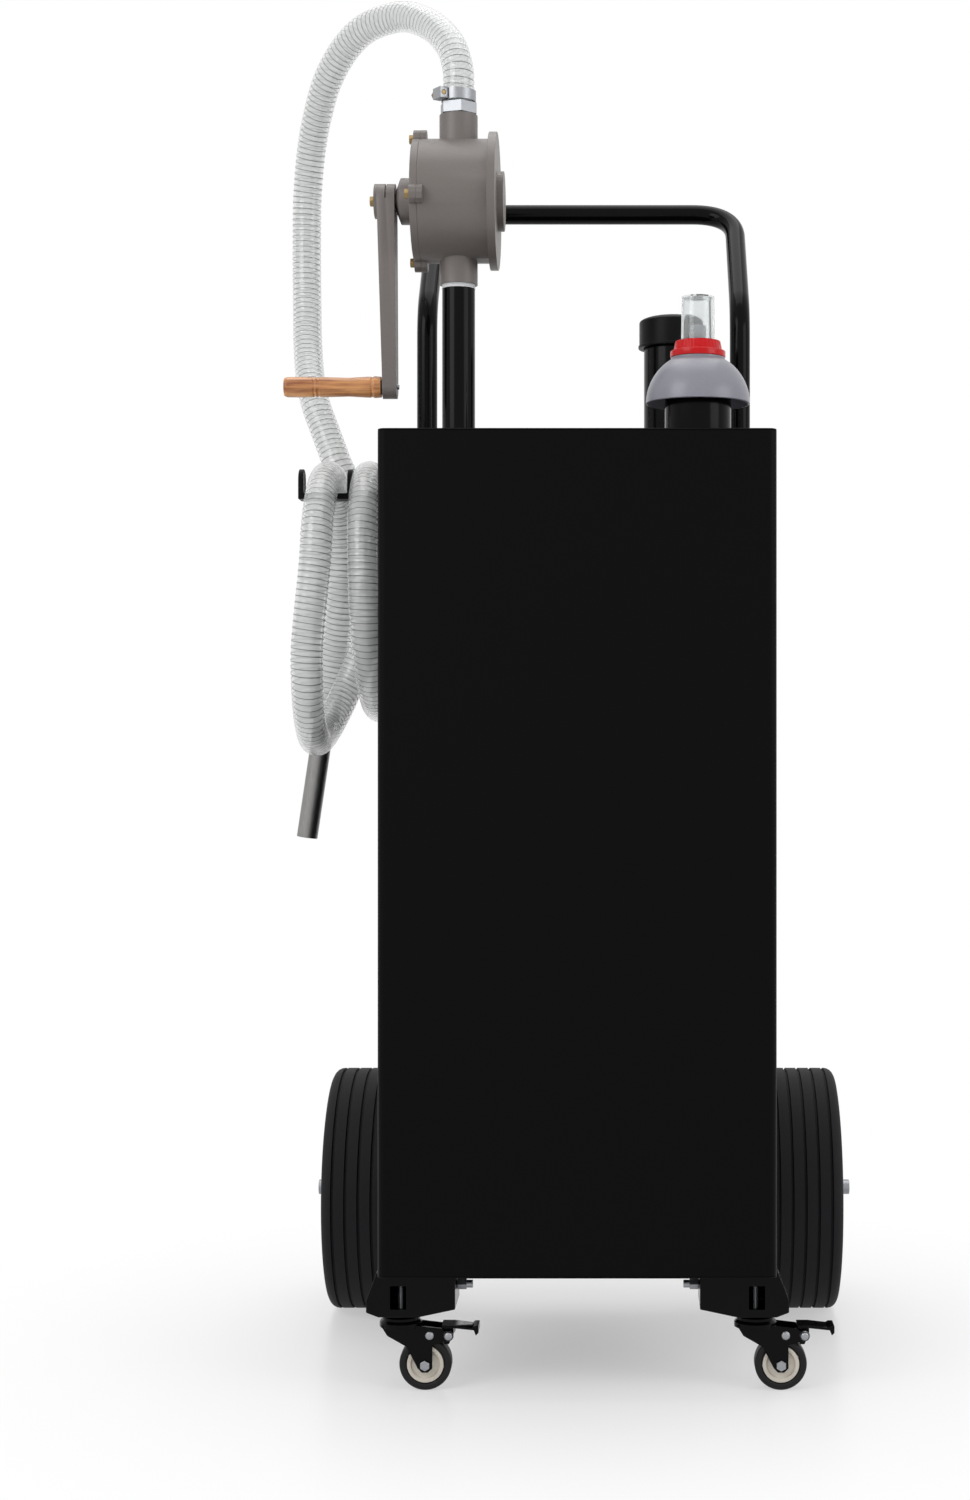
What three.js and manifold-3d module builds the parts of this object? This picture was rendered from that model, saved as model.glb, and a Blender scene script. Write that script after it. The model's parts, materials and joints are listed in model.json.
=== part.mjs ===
// A wheeled fuel caddy: a welded steel tank on two big wheels and two braked casters, with a
// hand-cranked rotary pump, a float gauge, a capped filler and a clear hose hung on a side hook.
// Millimetres, +Z up, and the front panel faces -Y. The origin is on the floor, under the middle
// of the box that holds everything but the hose.
import * as THREE from "three";
import { mergeVertices } from "three/addons/utils/BufferGeometryUtils.js";
import Module from "manifold-3d";

const wasm = await Module();
wasm.setup();

// Fits
const running_gap = 0.3; // between pieces that turn or slide on each other
const seat_gap = 0.3; // between turned or cut pieces that are fixed to each other
const thrust_gap = 0.5; // beside a piece that turns between two faces
const wheel_gap = 2; // washer room beside a main wheel
const overrun = 5; // how far a cutting tool passes the face that it cuts
const weld_tolerance = 0.0001; // vertices nearer than this are one

// Tank
const tank_width = 375;
const tank_depth = 375;
const tank_height = 797;
const tank_base_z = 117; // underside of the tank above the floor
const tank_sheet = 2;
const tank_corner = 8;

// Main wheels
const tyre_radius = 130;
const tyre_width = 80;
const tyre_side_gap = 7.5; // from the tank's side to the tyre
const tyre_bore_radius = 58;
const tyre_bead = 8;
const tyre_shoulder = 10;
const groove_count = 5;
const groove_pitch = 13.8;
const groove_width = 2.5;
const groove_depth = 3;
const rim_wall = 4;
const rim_web = 8;
const rim_inset = 8; // rim's edge inside the tyre's side
const hub_radius = 21;
const hub_length = 76;
const axle_radius = 8;
const axle_setback = 18; // axle centre behind the tank's rear wall
const axle_end_past_nut = 7;
const axle_collar_radius = 12;
const axle_nut_radius = 13;
const axle_nut_length = 10;
const axle_bracket_plate = 6;
const axle_bracket_inset = 26; // cheek's outer face inside the tank's side
const axle_bracket_flange = 34;
const axle_bracket_height = 62;
const axle_bracket_margin = 8; // cheek past the axle

// Casters
const caster_radius = 25;
const caster_width = 20;
const caster_core_radius = 17.5;
const caster_shoulder = 3;
const caster_dish_radius = 13;
const caster_hub_radius = 7;
const caster_dish_depth = 2;
const caster_trail = 24;
const caster_inset_x = 17.5; // swivel axis inside the tank's side
const caster_inset_y = 55; // swivel axis behind the front panel
const caster_head_z = 60; // underside of the swivel head
const caster_head_height = 14;
const caster_head_radius = 20.5;
const caster_head_crown = 11;
const caster_race_radius = 18;
const caster_axle_radius = 3;
const caster_nut_radius = 5;
const caster_nut_length = 3;
const fork_gap = 21.5; // between the fork's two cheeks
const fork_sheet = 2.5;
const stem_radius = 4.25;
const stem_foot_radius = 7;
const stem_foot_length = 2.5;
const pedal_pivot_x = 46.5; // from the swivel axis
const pedal_pivot_z = 53;
const pedal_heel_reach = 6.75; // plate's heel from the pivot
const pedal_tip_x = 75;
const pedal_width = 24;
const pedal_web_width = 18;
const pedal_sheet = 2.5;
const pedal_pin_radius = 2.5;
const pedal_rivet_radius = 4.5;
const pedal_rivet_height = 2;

// Caster brackets
const bracket_inner_reach = 54; // from the swivel axis towards the caddy's middle
const bracket_outer_reach = 30.5;
const bracket_depth = 60;
const bracket_sheet = 3;
const bracket_low_z = 74.5;
const bracket_inner_z = 82;
const bracket_outer_z = 79;
const bracket_cheek_z = 90; // where the outer cheek's slant starts
const bracket_slant = 10;
const bracket_keel = 18.5; // half of the flat underside
const window_width = 15;
const window_low_z = 82;
const window_high_z = 104;
const bracket_bolt_z = 100;
const bracket_bolt_radius = 3.75;
const bracket_bolt_reach = 15;
const bracket_nut_radius = 5.5;
const bracket_nut_length = 9;

// Suction pipe
const pipe_x = -124;
const pipe_radius = 16.7;
const pipe_bore_radius = 13.5;
const pipe_foot_clearance = 20; // above the tank's floor
const pipe_rise = 166; // suction pipe's shoulder above the tank's top
const thread_radius = 15.4;
const thread_length = 16;
const seal_radius = 17;
const seal_height = 4;

// Pump
const shaft_rise = 255; // shaft above the tank's top
const pump_left_x = -169; // outer face of the cover
const cover_thickness = 7.5;
const housing_flange = 6;
const pump_radius = 62;
const pump_bore_radius = 50;
const pump_bore_drop = 6; // bore's axis below the shaft's, so that the vanes pump
const pump_body_right_x = -92;
const end_disc_radius = 69;
const end_disc_thickness = 8;
const end_boss_radius = 30;
const end_boss_length = 6.5;
const end_boss_wall = 3;
const port_radius = 19.5;
const port_rise = 25; // top port above the drum
const ear_circle_radius = 61.5;
const ear_radius = 9.5;
const ear_count = 4;
const ear_first_angle = 96; // degrees from the rear of the pump to the top ear
const bolt_radius = 3;
const bolt_depth = 5; // thread in the housing's flange
const bolt_head_radius = 5;
const bolt_head_length = 4.5;
const boss_step_radius = 30.7;
const boss_step_length = 3;
const boss_radius = 23.4;
const boss_length = 10.25;
const boss_cone_length = 5;
const boss_nose_radius = 10.5;
const shaft_radius = 7;
const rotor_radius = 38;
const vane_thickness = 6;
const vane_foot_radius = 14;
const vane_reach = 43;

// Crank
const crank_radius = 188.5;
const crank_hub_radius = 17.5;
const crank_hub_length = 21.25;
const crank_boss_radius = 12;
const arm_top_thickness = 18;
const arm_bottom_thickness = 14.5;
const arm_lean = 1.5; // the arm's foot stands this far towards the pump
const hub_groove_width = 1.5;
const hub_groove_depth = 2.5;
const hub_groove_inset = 8.5; // from the hub's face on the pump's side
const crank_screw_radius = 5.5;
const crank_screw_length = 5;
const washer_radius = 8;
const washer_thickness = 1.2;
const grip_length = 98.75;
const grip_radius = 10.25;
const grip_bead_radius = 10.75;
const grip_groove_radius = 9.7;
const grip_groove_width = 1.2;
const grip_bead_width = 3;
const grip_waist_radius = 9.5;
const grip_flare_radius = 11.15;
const grip_end_radius = 9;
const grip_rounding = 3;
const grip_pin_radius = 4;
const pin_head_radius = 6.5;
const pin_head_length = 2.4;
const pin_recess = 3;
const pin_tail_radius = 2.5;
const pin_tail_length = 2;

// Outlet fitting and hose clamp
const nut_flat_radius = 17; // half of the size across the flats
const nut_rise = 1; // thread that shows above the port
const nut_height = 11;
const nut_turn = 12; // degrees
const barb_height = 14;
const barb_wall = 3;
const barb_clearance = 1; // inside the hose's bore
const hose_radius = 16;
const hose_bore_radius = 12.5;
const hose_seat = 1.5; // from the nut to the hose's end
const clamp_rise = 0.5; // from the hose's end to the band
const clamp_width = 11;
const clamp_sheet = 1.2;
const clamp_box_length = 15;
const clamp_box_depth = 8;
const clamp_box_turn = 215; // degrees, towards the front left
const clamp_screw_radius = 2.5;
const clamp_head_radius = 4;
const clamp_head_length = 3.5;

// Handle
const handle_radius = 11;
const handle_bore_radius = 9;
const handle_half_width = 170;
const handle_leg_y = 95;
const handle_knee_rise = 173; // above the tank's top
const handle_bar_y = 235;
const handle_bar_rise = 311; // above the tank's top
const handle_knee_run = 28; // from a bend's corner to where it starts
const handle_corner_run = 48;

// Filler
const filler_x = 95;
const filler_behind_pump = 68;
const filler_radius = 30.15;
const filler_wall = 3;
const filler_rise = 141; // neck's rim above the tank's top
const cap_radius = 35;
const cap_skirt_drop = 24.5; // cap's lower edge below the neck's rim
const cap_crown_rise = 2; // cap's shoulder above the neck's rim
const cap_dome_rise = 8;
const cap_lip = 1;
const cap_lip_height = 3;

// Float gauge
const gauge_x = 115;
const gauge_inset_y = 56.5; // from the front panel
const gauge_neck_radius = 31.75;
const gauge_neck_wall = 3;
const gauge_neck_rise = 58.5; // neck's top above the tank's top
const gauge_plug_thickness = 8;
const spigot_radius = 22;
const spigot_bore_radius = 9.5;
const spigot_length = 21;
const bowl_radius = 50;
const bowl_rim_drop = 28.4; // bowl's rim below the neck's top
const bowl_neck_radius = 26;
const bowl_neck_rise = 16; // top of the bowl's neck above the gauge's neck
const bowl_sheet = 2;
const bowl_steps = 5;
const collar_flange_radius = 26.5;
const collar_flange_height = 6;
const collar_radius = 23.5;
const collar_top_radius = 21.5;
const collar_height = 16;
const vial_radius = 16.35;
const vial_top_radius = 15.75;
const vial_sheet = 1.5;
const vial_rise = 53.7; // above the spigot
const vial_flange = 3;
const vial_flange_height = 2.5;
const float_radius = 22;
const float_height = 60;
const float_rod_radius = 3;
const indicator_radius = 8;
const indicator_gap = 2; // above the spigot
const indicator_height = 24;

// Side hook
const hook_width = 25;
const hook_bar = 6;
const hook_outer_x = -283;
const hook_inner_x = -233.5;
const prong_thickness = 5;
const prong_length = 31.4;
const hook_plate_size = 40;
const hook_plate_thickness = 3;

// Nozzle
const nozzle_radius = 11;
const nozzle_wall = 2;
const nozzle_length = 135;
const nozzle_collar_length = 9;

// Hose route, chosen by hand, with y from the pump's axis and z from the tank's top: the free
// stretch from the pump to where the coil starts
const lead_points = [
  [-124, 0, 355.5],
  [-124, 0, 367],
  [-124, 0, 382],
  [-126, 3, 396],
  [-132, 12, 415],
  [-149, 34, 440],
  [-170, 57, 457.5],
  [-190, 77, 466.6],
  [-228.9, 109, 464.7],
  [-253.9, 132, 450.3],
  [-277, 159, 422.6],
  [-290.3, 182, 393],
  [-299.7, 202, 362],
  [-306.6, 217, 310],
  [-307.7, 220, 255],
  [-306.6, 214, 197.5],
  [-302.6, 192, 138],
  [-295.9, 166, 95.6],
  [-287, 147, 65.6],
  [-280.8, 141.25, 50.05],
  [-274.6, 135.5, 34.5],
];
// Hose route: the coil's way in
const coil_entry_points = [
  [-274.6, 135.5, 34.5],
  [-268.4, 129.75, 18.95],
  [-262.2, 124, 3.4],
  [-240, 121, -42],
  [-220, 123, -89],
  [-207.5, 125, -124],
];
// Hose route: each half turn has its centre, its radius and its side drift from start to end
const coil_half_turns = [
  { y: 17.5, z: -150.5, radius: 107.5, over: false, x: [-206, -205.5, -210] },
  { y: 0, z: -115, radius: 90, over: true, x: [-211, -213, -216] },
  { y: 0, z: -202, radius: 90, over: false, x: [-233, -268, -266] },
  { y: 0, z: -115, radius: 90, over: true, x: [-258, -255, -254] },
];
// Hose route: the coil's way out to the nozzle
const coil_exit_points = [
  [-256.5, 98, -146],
  [-261.5, 110, -179],
  [-266, 117.5, -208],
  [-269.6, 120, -231],
  [-271.9, 120, -246.5],
  [-274.2, 120, -262],
];
const half_turn_steps = 8;
const hose_ring_pitch = 16;
const gap_sample = 6;

// Facets
const wheel_facets = 28;
const round_facets = 18;
const small_facets = 10;
const hex_facets = 6;
const hose_facets = 8;
const handle_facets = 12;
const bend_steps = 5;
const degree = Math.PI / 180;

// The cap's dome in shares of its radius and its rise
const cap_dome_shares = [
  [0.94, 0.3],
  [0.7, 0.75],
  [0.35, 0.95],
];

// Places worked out from the sizes above
const half_width = tank_width / 2;
const overall_depth = tank_depth + axle_setback + tyre_radius;
const front_y = -overall_depth / 2;
const rear_y = front_y + tank_depth;
const tank_top_z = tank_base_z + tank_height;
const pump_y = (front_y + rear_y) / 2;
const filler_y = pump_y + filler_behind_pump;
const gauge_y = front_y + gauge_inset_y;
const pipe_shoulder_z = tank_top_z + pipe_rise;
const shaft_z = tank_top_z + shaft_rise;
const handle_knee_z = tank_top_z + handle_knee_rise;
const handle_bar_z = tank_top_z + handle_bar_rise;
const filler_top_z = tank_top_z + filler_rise;
const cap_skirt_z = filler_top_z - cap_skirt_drop;
const cap_crown_z = filler_top_z + cap_crown_rise;
const gauge_neck_top_z = tank_top_z + gauge_neck_rise;
const spigot_top_z = gauge_neck_top_z + spigot_length;
const bowl_rim_z = gauge_neck_top_z - bowl_rim_drop;
const bowl_neck_z = gauge_neck_top_z + bowl_neck_rise;
const vial_top_z = spigot_top_z + vial_rise;
const indicator_foot_z = spigot_top_z + indicator_gap;
const floor_top_z = tank_base_z + tank_sheet;
const axle_y = rear_y + axle_setback;
const wheel_x = half_width + tyre_side_gap + tyre_width / 2;
const bracket_outer_x = half_width - axle_bracket_inset;
const swivel_x = half_width - caster_inset_x;
const swivel_y = front_y + caster_inset_y;
const head_top_z = caster_head_z + caster_head_height;
const flange_left_x = pump_left_x + cover_thickness;
const body_left_x = flange_left_x + housing_flange;
const end_boss_x = pump_body_right_x + end_disc_thickness;
const boss_step_x = pump_left_x - boss_step_length;
const boss_x = boss_step_x - boss_length;
const nose_x = boss_x - boss_cone_length;
const crank_right_x = nose_x - thrust_gap;
const crank_left_x = crank_right_x - crank_hub_length;
const crank_foot_z = shaft_z - crank_radius;
const arm_foot_right_x = crank_right_x + arm_lean;
const arm_foot_left_x = arm_foot_right_x - arm_bottom_thickness;
const washer_x = arm_foot_left_x - washer_thickness;
const grip_right_x = washer_x - running_gap;
const grip_left_x = grip_right_x - grip_length;
const port_bottom_z = pipe_shoulder_z + seal_height;
const port_top_z = shaft_z + pump_radius + port_rise;
const nut_z = port_top_z + nut_rise;
const nut_top_z = nut_z + nut_height;
const axle_nut_x = wheel_x + hub_length / 2 + wheel_gap;
const axle_half_length = axle_nut_x + axle_nut_length + axle_end_past_nut;
const frame_shift_x = -(grip_left_x + axle_half_length) / 2;

// A position-only copy with shared vertices merged and empty triangles left out.
function welded(geometry) {
  const plain = new THREE.BufferGeometry();
  const source = geometry.index ? geometry.toNonIndexed() : geometry;
  plain.setAttribute("position", source.getAttribute("position").clone());
  const merged = mergeVertices(plain, weld_tolerance);
  const kept = [];
  const index = merged.index.array;
  for (let i = 0; i < index.length; i += 3) {
    const [a, b, c] = index.slice(i, i + 3);
    if (a !== b && b !== c && c !== a) kept.push(a, b, c);
  }
  merged.setIndex(kept);
  return merged;
}

// A closed mesh as a solid, with its faces turned to point out.
function toSolid(geometry) {
  const shape = welded(geometry);
  const triVerts = new Uint32Array(shape.index.array);
  const vertProperties = new Float32Array(shape.getAttribute("position").array);
  const made = new wasm.Manifold(new wasm.Mesh({ numProp: 3, vertProperties, triVerts }));
  if (made.volume() > 0) return made;
  for (let i = 0; i < triVerts.length; i += 3) {
    [triVerts[i + 1], triVerts[i + 2]] = [triVerts[i + 2], triVerts[i + 1]];
  }
  return new wasm.Manifold(new wasm.Mesh({ numProp: 3, vertProperties, triVerts }));
}

function fromSolid(solid) {
  const mesh = solid.getMesh();
  const geometry = new THREE.BufferGeometry();
  geometry.setAttribute("position", new THREE.BufferAttribute(new Float32Array(mesh.vertProperties), 3));
  geometry.setIndex(Array.from(mesh.triVerts));
  return geometry;
}

function outward(geometry) {
  return fromSolid(toSolid(geometry));
}

function join(first, ...others) {
  return fromSolid(others.reduce((solid, geometry) => solid.add(toSolid(geometry)), toSolid(first)));
}

function cut(first, ...tools) {
  return fromSolid(tools.reduce((solid, geometry) => solid.subtract(toSolid(geometry)), toSolid(first)));
}

function common(first, second) {
  return fromSolid(toSolid(first).intersect(toSolid(second)));
}

function mirroredX(geometry) {
  return outward(geometry.clone().scale(-1, 1, 1));
}

// A box from its lowest to its highest corner.
function block(low, high) {
  const size = high.map((value, i) => value - low[i]);
  const geometry = new THREE.BoxGeometry(...size);
  geometry.translate(...low.map((value, i) => value + size[i] / 2));
  return geometry;
}

// A shape turned about Z from its points of radius and height.
function turnedZ(profile, facets = round_facets) {
  const points = profile.map(([radius, height]) => new THREE.Vector2(radius, height));
  const geometry = new THREE.LatheGeometry(points, facets);
  geometry.rotateX(Math.PI / 2);
  return outward(geometry);
}

// The same about X, where the heights run along X.
function turnedX(profile, facets = round_facets) {
  return turnedZ(profile, facets).rotateY(Math.PI / 2);
}

// The radius at the corners of a faceted bore whose flats stand clear of a round rod.
function boreRadius(rod_radius, gap, facets) {
  return (rod_radius + gap) / Math.cos(Math.PI / facets);
}

function tubeProfile(inner, outer, low, high) {
  return [
    [inner, low],
    [outer, low],
    [outer, high],
    [inner, high],
    [inner, low],
  ];
}

function rodProfile(radius, low, high) {
  return [
    [0, low],
    [radius, low],
    [radius, high],
    [0, high],
  ];
}

function rodZ(radius, low, high, x, y, facets = round_facets) {
  return turnedZ(rodProfile(radius, low, high), facets).translate(x, y, 0);
}

function rodX(radius, low, high, y, z, facets = round_facets) {
  return turnedX(rodProfile(radius, low, high), facets).translate(0, y, z);
}

function rodY(radius, low, high, x, z, facets = round_facets) {
  return turnedZ(rodProfile(radius, low, high), facets).rotateX(-Math.PI / 2).translate(x, 0, z);
}

// An outline in X and Z, pushed along Y from low to high.
function slabXZ(points, low, high) {
  const shape = new THREE.Shape(points.map(([x, z]) => new THREE.Vector2(x, z)));
  const geometry = new THREE.ExtrudeGeometry(shape, { depth: high - low, bevelEnabled: false });
  geometry.rotateX(Math.PI / 2);
  geometry.translate(0, high, 0);
  return outward(geometry);
}

// A shape in Y and Z, pushed along X from low to high.
function slabYZ(shape, low, high) {
  const options = { depth: high - low, bevelEnabled: false, curveSegments: small_facets };
  const geometry = new THREE.ExtrudeGeometry(shape, options);
  geometry.rotateX(Math.PI / 2);
  geometry.rotateZ(Math.PI / 2);
  geometry.translate(low, 0, 0);
  return outward(geometry);
}

// A rounded rectangle round the tank's middle, drawn in from the outer wall by an inset.
function tankOutline(inset) {
  const [x, y] = [half_width - inset, tank_depth / 2 - inset];
  const radius = tank_corner - inset;
  const shape = new THREE.Shape();
  shape.absarc(x - radius, radius - y, radius, -Math.PI / 2, 0, false);
  shape.absarc(x - radius, y - radius, radius, 0, Math.PI / 2, false);
  shape.absarc(radius - x, y - radius, radius, Math.PI / 2, Math.PI, false);
  shape.absarc(radius - x, radius - y, radius, Math.PI, Math.PI * 1.5, false);
  return shape;
}

function tankSlab(inset, low, high) {
  const options = { depth: high - low, bevelEnabled: false, curveSegments: 4 };
  const geometry = new THREE.ExtrudeGeometry(tankOutline(inset), options);
  return outward(geometry.translate(0, (front_y + rear_y) / 2, low));
}

const caddy = new THREE.Group();
caddy.position.x = frame_shift_x;

function add(name, geometry, [color, roughness, metalness], group = caddy) {
  const material = new THREE.MeshStandardMaterial({ color, roughness, metalness });
  const mesh = new THREE.Mesh(geometry, material);
  mesh.name = name;
  group.add(mesh);
}

const painted_black = ["#0c0c0e", 0.35, 0.1];
const cast_grey = ["#7a736f", 0.5, 0.4];
const zinc = ["#c9cccf", 0.3, 0.9];
const yellow_zinc = ["#b89a5c", 0.4, 0.8];
const rubber = ["#1a1a1c", 0.8, 0];
const clear_plastic = ["#dfe3e2", 0.2, 0];

// The tank: a folded wrap closed by a welded bottom and a welded top.
function buildTank() {
  const roof_z = tank_top_z - tank_sheet;
  const wrap = cut(
    tankSlab(0, floor_top_z, roof_z),
    tankSlab(tank_sheet, floor_top_z - overrun, roof_z + overrun),
  );
  add("tank_shell", wrap, painted_black);
  add("tank_bottom", tankSlab(0, tank_base_z, floor_top_z), painted_black);
  const [low, high] = [roof_z - overrun, tank_top_z + overrun];
  const holes = [
    rodZ(pipe_radius + seat_gap, low, high, pipe_x, pump_y),
    rodZ(filler_radius - filler_wall, low, high, filler_x, filler_y),
    rodZ(gauge_neck_radius - gauge_neck_wall, low, high, gauge_x, gauge_y),
  ];
  add("tank_top", cut(tankSlab(0, roof_z, tank_top_z), ...holes), painted_black);
}

// The suction pipe reaches almost to the tank's floor and screws into the pump's lower port.
function buildSuctionPipe() {
  const foot_z = floor_top_z + pipe_foot_clearance;
  const pipe = turnedZ([
    [pipe_bore_radius, foot_z],
    [pipe_radius, foot_z],
    [pipe_radius, pipe_shoulder_z],
    [thread_radius, pipe_shoulder_z],
    [thread_radius, pipe_shoulder_z + thread_length],
    [pipe_bore_radius, pipe_shoulder_z + thread_length],
    [pipe_bore_radius, foot_z],
  ]);
  add("suction_pipe", pipe.translate(pipe_x, pump_y, 0), painted_black);
  const seal = turnedZ(tubeProfile(thread_radius + seat_gap, seal_radius, pipe_shoulder_z, port_bottom_z));
  add("thread_seal", seal.translate(pipe_x, pump_y, 0), ["#e9e9eb", 0.6, 0]);
}

// The ears' centres in Y and Z, evenly round the pump.
function earPlaces() {
  const places = [];
  for (let i = 0; i < ear_count; i += 1) {
    const angle = (ear_first_angle + (i * 360) / ear_count) * degree;
    const y = pump_y + ear_circle_radius * Math.cos(angle);
    const z = shaft_z + ear_circle_radius * Math.sin(angle);
    places.push([y, z]);
  }
  return places;
}

function earedPlate(low, high) {
  const ears = earPlaces().map(([y, z]) => rodX(ear_radius, low, high, y, z, small_facets));
  return join(rodX(pump_radius, low, high, pump_y, shaft_z, wheel_facets), ...ears);
}

// The housing is one casting: an eared flange, the drum, its closed end and both ports.
function buildPumpHousing() {
  const socket_end_x = end_boss_x + end_boss_length - end_boss_wall;
  const solid = join(
    earedPlate(flange_left_x, body_left_x),
    rodX(pump_radius, body_left_x, pump_body_right_x, pump_y, shaft_z, wheel_facets),
    rodX(end_disc_radius, pump_body_right_x, end_boss_x, pump_y, shaft_z, wheel_facets),
    rodX(end_boss_radius, end_boss_x, end_boss_x + end_boss_length, pump_y, shaft_z),
    rodZ(port_radius, port_bottom_z, port_top_z, pipe_x, pump_y),
  );
  const bore_z = shaft_z - pump_bore_drop;
  const port_bore = thread_radius + seat_gap;
  const socket = boreRadius(shaft_radius, running_gap, small_facets);
  const holes = [
    rodX(pump_bore_radius, flange_left_x - overrun, pump_body_right_x, pump_y, bore_z, wheel_facets),
    rodX(socket, pump_body_right_x - overrun, socket_end_x, pump_y, shaft_z, small_facets),
    rodZ(port_bore, port_bottom_z - overrun, port_top_z + overrun, pipe_x, pump_y),
  ];
  for (const [y, z] of earPlaces()) {
    const depth_x = flange_left_x + bolt_depth + seat_gap;
    holes.push(rodX(bolt_radius + seat_gap, flange_left_x - overrun, depth_x, y, z, small_facets));
  }
  add("pump_housing", cut(solid, ...holes), cast_grey);
}

// The cover on the crank's side, with the stepped and coned bearing boss, and its four bolts.
function buildPumpCover() {
  const boss = turnedX([
    [0, nose_x],
    [boss_nose_radius, nose_x],
    [boss_radius, boss_x],
    [boss_radius, boss_step_x],
    [boss_step_radius, boss_step_x],
    [boss_step_radius, pump_left_x],
    [0, pump_left_x],
  ]);
  const solid = join(earedPlate(pump_left_x, flange_left_x), boss.translate(0, pump_y, shaft_z));
  const hole_radius = boreRadius(shaft_radius, running_gap, small_facets);
  const past_x = flange_left_x + overrun;
  const holes = earPlaces().map(([y, z]) =>
    rodX(bolt_radius + seat_gap, pump_left_x - overrun, past_x, y, z, small_facets),
  );
  holes.push(rodX(hole_radius, nose_x - overrun, past_x, pump_y, shaft_z, small_facets));
  add("pump_cover", cut(solid, ...holes), cast_grey);
  earPlaces().forEach(([y, z], i) => {
    const head = rodX(bolt_head_radius, pump_left_x - bolt_head_length, pump_left_x, y, z, hex_facets);
    const shank = rodX(bolt_radius, pump_left_x, flange_left_x + bolt_depth, y, z, small_facets);
    add(`cover_bolt_${i + 1}`, join(head, shank), yellow_zinc);
  });
}

// The shaft with the slotted rotor and its two vanes.
function buildRotor() {
  const shaft_end_x = end_boss_x + end_boss_length - end_boss_wall - thrust_gap;
  add("pump_shaft", rodX(shaft_radius, crank_left_x, shaft_end_x, pump_y, shaft_z, small_facets), zinc);
  const [low, high] = [flange_left_x + thrust_gap, pump_body_right_x - thrust_gap];
  const slot = vane_thickness / 2 + running_gap;
  const slot_foot = vane_foot_radius - running_gap;
  const past = rotor_radius + overrun;
  const [left, right] = [low - overrun, high + overrun];
  const drum = cut(
    rodX(rotor_radius, low, high, pump_y, shaft_z),
    rodX(shaft_radius + seat_gap, left, right, pump_y, shaft_z, small_facets),
    block([left, pump_y - slot, shaft_z + slot_foot], [right, pump_y + slot, shaft_z + past]),
    block([left, pump_y - slot, shaft_z - past], [right, pump_y + slot, shaft_z - slot_foot]),
  );
  add("pump_rotor", drum, ["#8b8d90", 0.4, 0.9]);
  const [near, far] = [pump_y - vane_thickness / 2, pump_y + vane_thickness / 2];
  const upper = block([low, near, shaft_z + vane_foot_radius], [high, far, shaft_z + vane_reach]);
  const lower = block([low, near, shaft_z - vane_reach], [high, far, shaft_z - vane_foot_radius]);
  add("pump_vane_1", upper, ["#3a3a3c", 0.6, 0]);
  add("pump_vane_2", lower, ["#3a3a3c", 0.6, 0]);
}

// The crank's side view: a round hub, a tapering arm and a round foot.
function crankShape() {
  const shape = new THREE.Shape();
  shape.absarc(pump_y, shaft_z, crank_hub_radius, 0, Math.PI, false);
  shape.absarc(pump_y, crank_foot_z, crank_boss_radius, Math.PI, Math.PI * 2, false);
  return shape;
}

function buildCrankArm() {
  const arm_top_x = crank_right_x - arm_top_thickness;
  const top_z = shaft_z + crank_hub_radius + overrun;
  const boss_top_z = crank_foot_z + crank_boss_radius;
  const low_z = crank_foot_z - crank_boss_radius - overrun;
  const front_view = slabXZ(
    [
      [arm_top_x, top_z],
      [arm_top_x, shaft_z],
      [arm_foot_left_x, boss_top_z],
      [arm_foot_left_x, low_z],
      [arm_foot_right_x, low_z],
      [arm_foot_right_x, boss_top_z],
      [crank_right_x, shaft_z],
      [crank_right_x, top_z],
    ],
    pump_y - crank_hub_radius - overrun,
    pump_y + crank_hub_radius + overrun,
  );
  const lever = common(slabYZ(crankShape(), crank_left_x, arm_foot_right_x), front_view);
  const hub = rodX(crank_hub_radius, crank_left_x, crank_right_x, pump_y, shaft_z);
  const groove_x = crank_right_x - hub_groove_inset;
  const groove = turnedX(
    tubeProfile(
      crank_hub_radius - hub_groove_depth,
      crank_hub_radius + overrun,
      groove_x - hub_groove_width,
      groove_x,
    ),
  ).translate(0, pump_y, shaft_z);
  const upper_half = block(
    [crank_left_x, pump_y - crank_hub_radius - overrun, shaft_z],
    [crank_right_x, pump_y + crank_hub_radius + overrun, top_z],
  );
  const [left, right] = [crank_left_x - overrun, arm_foot_right_x + overrun];
  const arm = cut(
    join(lever, hub),
    common(groove, upper_half),
    rodX(shaft_radius + seat_gap, left, right, pump_y, shaft_z, small_facets),
    rodX(grip_pin_radius + seat_gap, left, right, pump_y, crank_foot_z, small_facets),
  );
  add("crank_arm", arm, cast_grey);
  const screw_x = crank_left_x - crank_screw_length;
  const screw = rodX(crank_screw_radius, screw_x, crank_left_x, pump_y, shaft_z, hex_facets);
  add("crank_screw", screw, yellow_zinc);
}

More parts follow.
